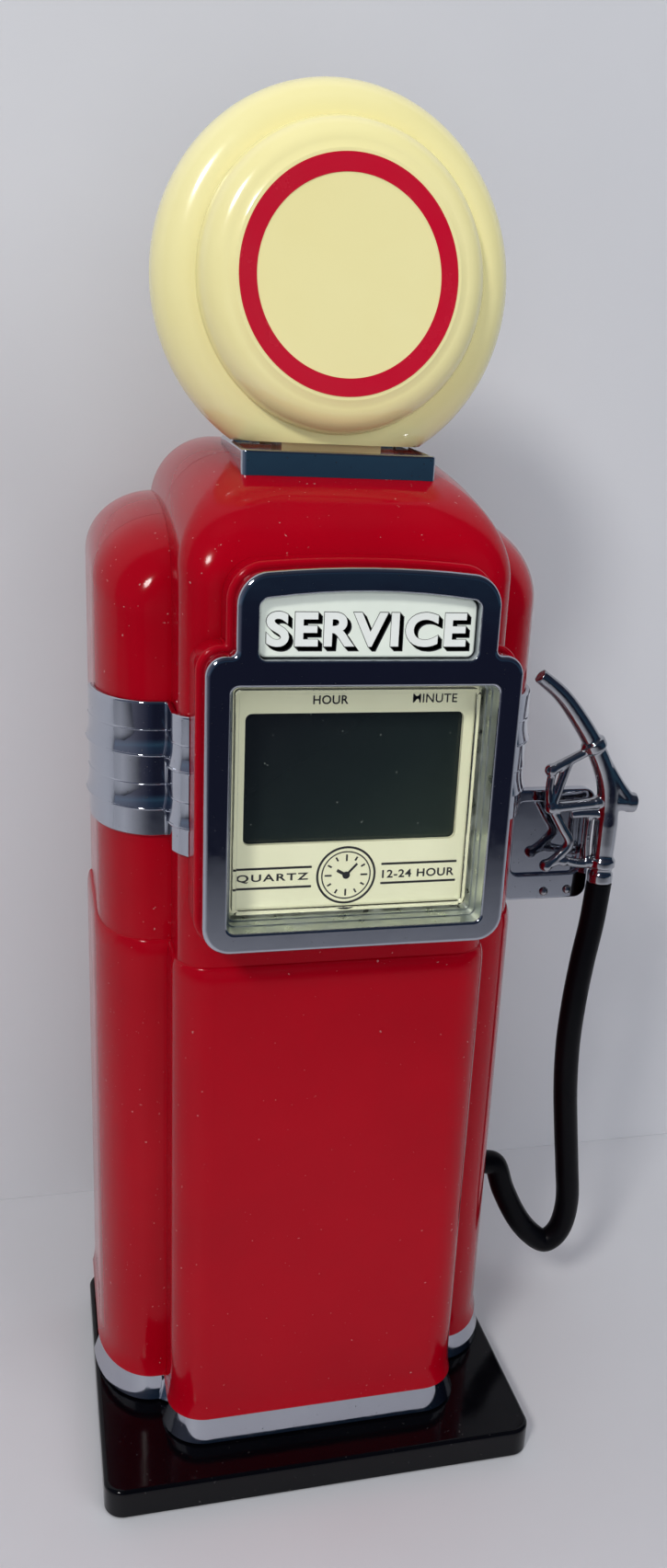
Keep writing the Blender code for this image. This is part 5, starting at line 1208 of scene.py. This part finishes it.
def build_hose():
    """Vinyl hose from the ferrule down and round into its socket in the body side."""
    mouth = SOCKET_HIGH.x + 0.3 * MM
    marks = [(HANDLE_X / MM, 4.0, NOZZLE_LOW.z / MM - 0.1), (56.2, 4.1, 93.0),
             (55.2, 4.2, 84.5), (54.5, 4.3, 75.7), (54.4, 4.6, 66.5), (55.1, 5.0, 56.9),
             (56.5, 5.5, 46.8), (58.1, 6.0, 36.4), (59.2, 6.4, 28.0), (58.4, 6.8, 21.2),
             (55.6, 7.2, 18.0), (52.2, 7.7, 19.9), (48.8, 8.3, 24.2), (45.6, 9.1, 30.6),
             (43.6, 9.5, 36.3)]
    path = [(x * MM, y * MM, z * MM) for x, y, z in marks]
    path += [(mouth + 1.5 * MM, SOCKET.y, SOCKET.z), (mouth, SOCKET.y, SOCKET.z)]
    path = smooth_path(path, 10)
    hose = replace("hose", tube(path, [2.4 * MM] * len(path), 32), "black_vinyl", body=None,
                   angle=60.0)
    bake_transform(hose)
    lip = WING_HALF + 0.2 * MM
    stations = [(-4.5 * MM, 3.2 * MM), (0.0, 3.2 * MM), (0.0, 3.9 * MM), (0.2 * MM, 4.1 * MM)]
    stations += [(1.2 * MM - 0.8 * MM * back, 4.1 * MM - 0.8 * MM * inward)
                 for inward, back in rounding(5)]
    replace("hose_socket", lathe((lip, SOCKET.y, SOCKET.z), (1, 0, 0), stations),
            "black_plastic")


# ---------------------------------------------------------------- rear controls

def button_hole(node):
    """Cutter in the control panel for a push button, which is made too."""
    high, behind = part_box(node)[1], PANEL_LOW.y
    place = middle_of(*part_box(node))
    x, z = place.x, place.z
    hole = [(x + 2.8 * MM * math.cos(a), z + 2.8 * MM * math.sin(a)) for a in circle(40)]
    stations = [(behind + reach * MM, radius * MM)
                for reach, radius in ((-2.6, 1.2), (-1.6, 1.2), (-1.6, 3.5), (-0.3, 3.5),
                                      (-0.3, 2.6))]
    stations += [(high.y - 0.5 * MM * down, 2.6 * MM - 0.5 * MM * inward)
                 for inward, down in rounding(5)]
    stations += [(high.y - 0.25 * MM * math.sin(turn), 1.9 * MM * math.cos(turn) + 0.02 * MM)
                 for turn in quarter(6)[1:]]
    replace(node, lathe((x, 0.0, z), (0, 1, 0), stations), "grey_plastic", body=node)
    return cut(flared(hole, PANEL_HIGH.y, 15.0 * MM, 0.3 * MM))


def build_controls():
    """Control panel with its lettering, push buttons and slide switch."""
    cuts = [button_hole(node) for node in ("hour_button", "minute_button", "mode_button")]
    low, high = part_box("alarm_switch")
    z = middle_of(low, high).z
    slot = rectangle(-4.6 * MM, z - 1.5 * MM, 4.6 * MM, z + 1.5 * MM, 0.5 * MM)
    cuts.append(cut(flared(slot, PANEL_HIGH.y, 15.0 * MM, 0.3 * MM)))
    panel = slab(around(PANEL_LOW, PANEL_HIGH, 1.2 * MM), PANEL_LOW.y, PANEL_HIGH.y, upright,
                 0.15 * MM, 0.4 * MM)
    replace("control_panel", solid(panel, *cuts), "black_plastic")
    labels = [text_mesh(words, 1.5 * MM, (x * MM, height * MM), -PANEL_HIGH.y - 0.05 * MM,
                        1.1, 0.01, 0.1 * MM)
              for words, x, height in (("HOUR", 10.0, 135.2), ("MIN", 0.0, 135.2),
                                       ("MODE", -10.0, 135.2), ("OFF", 8.2, 127.5),
                                       ("ON", -8.0, 127.5))]
    for mesh in labels:
        mesh.transform(Matrix.Rotation(math.pi, 4, "Z"))
    piece("panel_letters", merged(labels), LETTER_FACE)
    knob = slab(rectangle(-4.3 * MM, z - 1.2 * MM, 0.3 * MM, z + 1.2 * MM, 0.35 * MM), low.y,
                high.y, upright, 0.2 * MM, 0.3 * MM)
    grooves = [cut(box((x * MM - 0.18 * MM, high.y - 0.35 * MM, z - 2.0 * MM),
                       (x * MM + 0.18 * MM, high.y + MM, z + 2.0 * MM)))
               for x in (-3.4, -2.7, -2.0, -1.3, -0.6)]
    flange = box((low.x, PANEL_LOW.y - 1.4 * MM, low.z), (high.x, PANEL_LOW.y - 0.3 * MM, high.z))
    replace("alarm_switch", solid(knob, add(flange), *grooves), "crimson_ink",
            body="alarm_switch")


def build_battery_door():
    grips = []
    for k in range(4):
        z = DOOR_HIGH.z - (6.0 + 1.8 * k) * MM
        grip = rectangle(-5.0 * MM, z - 0.45 * MM, 5.0 * MM, z + 0.45 * MM, 0.4 * MM, 4)
        grips.append(cut(flared(grip, DOOR_HIGH.y, CENTRE_BACK - 0.5 * MM, 0.15 * MM, steps=3)))
    door = slab(around(DOOR_LOW, DOOR_HIGH, 1.2 * MM), DOOR_LOW.y, DOOR_HIGH.y, upright,
                0.15 * MM, 0.3 * MM)
    replace("battery_door", solid(door, *grips), "red_plastic", body="battery_door")


# ---------------------------------------------------------------- stage, lights and camera

CAMERA_PLACE = Vector((-46.05, -196.67, 183.50)) * MM
CAMERA_AZIMUTH = math.radians(-14.08)
CAMERA_ELEVATION = math.radians(18.17)
CAMERA_ROLL = math.radians(2.61)
CAMERA_LENS = 28.24
CAMERA_SHIFT = (-0.0007, 0.0222)
WALL_Y = 67.0 * MM
WALL_TOP = 0.9
STAGE_HALF = 1.2
FLOOR_FRONT = -360.0 * MM
BACKDROP = (0.42, 0.425, 0.45)


def wall_sheet():
    """One upright face, looking forward."""
    bm = bmesh.new()
    bm.faces.new([bm.verts.new((x, WALL_Y, z))
                  for x, z in ((-STAGE_HALF, -0.0001), (STAGE_HALF, -0.0001),
                               (STAGE_HALF, WALL_TOP), (-STAGE_HALF, WALL_TOP))])
    mesh = bpy.data.meshes.new("wall")
    bm.to_mesh(mesh)
    bm.free()
    return mesh


def build_stage():
    """Pale floor and a pale wall close behind, which is seen through from its back; the floor
    carries painted shade, darker towards its front.
    """
    floor = box((-STAGE_HALF, FLOOR_FRONT, -0.012), (STAGE_HALF, STAGE_HALF, -0.0002))
    for name, mesh in (("floor", floor), ("wall", wall_sheet())):
        paint = Surface(name + "_paint")
        mottled = paint.mix(paint.noise(14.0, 4.0), (0.66, 0.665, 0.69), (0.60, 0.605, 0.63))
        # Painted shade: the floor's colour darkens towards its front edge in place of light falling
        # off away from the lamps; the wall lies behind this range and stays plain.
        painted_shade = paint.spread(paint.axis(paint.place, "Y"), 1.0, 0.0, FLOOR_FRONT, -0.09)
        paint.set(base_color=paint.mix(painted_shade, mottled, (0.03, 0.032, 0.045)), roughness=0.5)
        paint.bump(paint.noise(120.0, 3.0), 0.02 * MM)
        if name == "wall":
            paint.finish(paint.node("NewGeometry").outputs["Backfacing"],
                         paint.shader.outputs["BSDF"],
                         paint.node("BsdfTransparent").outputs["BSDF"], "Material Output")
        made = bpy.data.objects.new(name, mesh)
        made.data.materials.append(paint.material)
        bpy.context.scene.collection.objects.link(made)


def area_light(name, place, target, size, power, colour, mirrored=True):
    data = bpy.data.lights.new(name, "AREA")
    data.shape = "DISK"
    data.size = size
    data.energy = power
    data.color = colour
    made = bpy.data.objects.new(name, data)
    made.location = place
    aim = Vector(target) - Vector(place)
    made.rotation_euler = aim.to_track_quat("-Z", "Y").to_euler()
    made.visible_glossy = mirrored
    made.visible_transmission = mirrored
    bpy.context.scene.collection.objects.link(made)


def build_lights():
    middle = (0.0, 0.0, 0.12)
    area_light("key", (-0.40, -0.52, 0.62), middle, 0.14, 2.9, (1.0, 0.98, 0.95))
    area_light("fill", (0.45, -0.6, 0.5), middle, 0.5, 1.6, (0.93, 0.96, 1.0), mirrored=False)
    area_light("front", (-0.1, -0.9, 0.12), middle, 0.7, 2.6, (0.97, 0.98, 1.0), mirrored=False)
    area_light("overhead", (0.0, -0.1, 1.1), middle, 0.9, 3.8, (0.97, 0.98, 1.0), mirrored=False)
    build_room()


def build_room():
    """Dim room all round, lighter above and to the left; the camera sees a plain backdrop."""
    world = bpy.data.worlds.new("room")
    world.use_nodes = True
    tree = Tree(world)
    place = tree.node("TexCoord").outputs["Generated"]
    total = tree.node("VectorMath")
    for slot, name, start, end, stops in (
            (0, "Z", -1.0, 1.0, ((0.0, (0.02, 0.022, 0.03)), (0.42, (0.012, 0.014, 0.03)),
                                 (0.50, (0.03, 0.07, 0.11)), (0.54, (0.02, 0.04, 0.07)),
                                 (0.70, (0.02, 0.025, 0.05)), (1.0, (0.06, 0.07, 0.09)))),
            (1, "X", -1.0, 0.0, ((0.0, (0.15, 0.15, 0.175)), (0.4, (0.06, 0.06, 0.075)),
                                 (0.8, (0.01, 0.012, 0.02)), (1.0, (0.0, 0.0, 0.0))))):
        share = tree.spread(tree.axis(place, name), 0.0, 1.0, start, end)
        tree.feed(total.inputs[slot], tree.ramp(share, *stops))
    room = tree.nodes["Background"]
    tree.feed(room.inputs["Color"], total.outputs["Vector"])
    tree.finish(tree.node("LightPath").outputs["Is Camera Ray"], room.outputs["Background"],
                tree.node("Background", Color=BACKDROP).outputs["Background"], "World Output")
    bpy.context.scene.world = world


def build_camera():
    data = bpy.data.cameras.new("camera")
    data.sensor_width = 36.0
    data.lens = CAMERA_LENS
    data.shift_x, data.shift_y = CAMERA_SHIFT
    data.clip_start = 0.005
    az, el = CAMERA_AZIMUTH, CAMERA_ELEVATION
    back = Vector((math.sin(az) * math.cos(el), -math.cos(az) * math.cos(el), math.sin(el)))
    right = Vector((math.cos(az), math.sin(az), 0.0))
    up = back.cross(right)
    tilt_right = right * math.cos(CAMERA_ROLL) + up * math.sin(CAMERA_ROLL)
    tilt_up = up * math.cos(CAMERA_ROLL) - right * math.sin(CAMERA_ROLL)
    rotation = Matrix((tilt_right, tilt_up, back)).transposed()
    made = bpy.data.objects.new("camera", data)
    made.matrix_world = Matrix.Translation(CAMERA_PLACE) @ rotation.to_4x4()
    bpy.context.scene.collection.objects.link(made)
    bpy.context.scene.camera = made


def main():
    bpy.context.scene.view_settings.view_transform = "Standard"
    paint_cad_nodes()
    for build in (build_shells, build_bands, build_trim, build_base, build_screws, build_bezel,
                  build_sign_letters, build_dial_print, build_globe, build_holder, build_nozzle,
                  build_cradle, build_hose, build_controls, build_battery_door, build_stage,
                  build_lights, build_camera):
        build()


main()
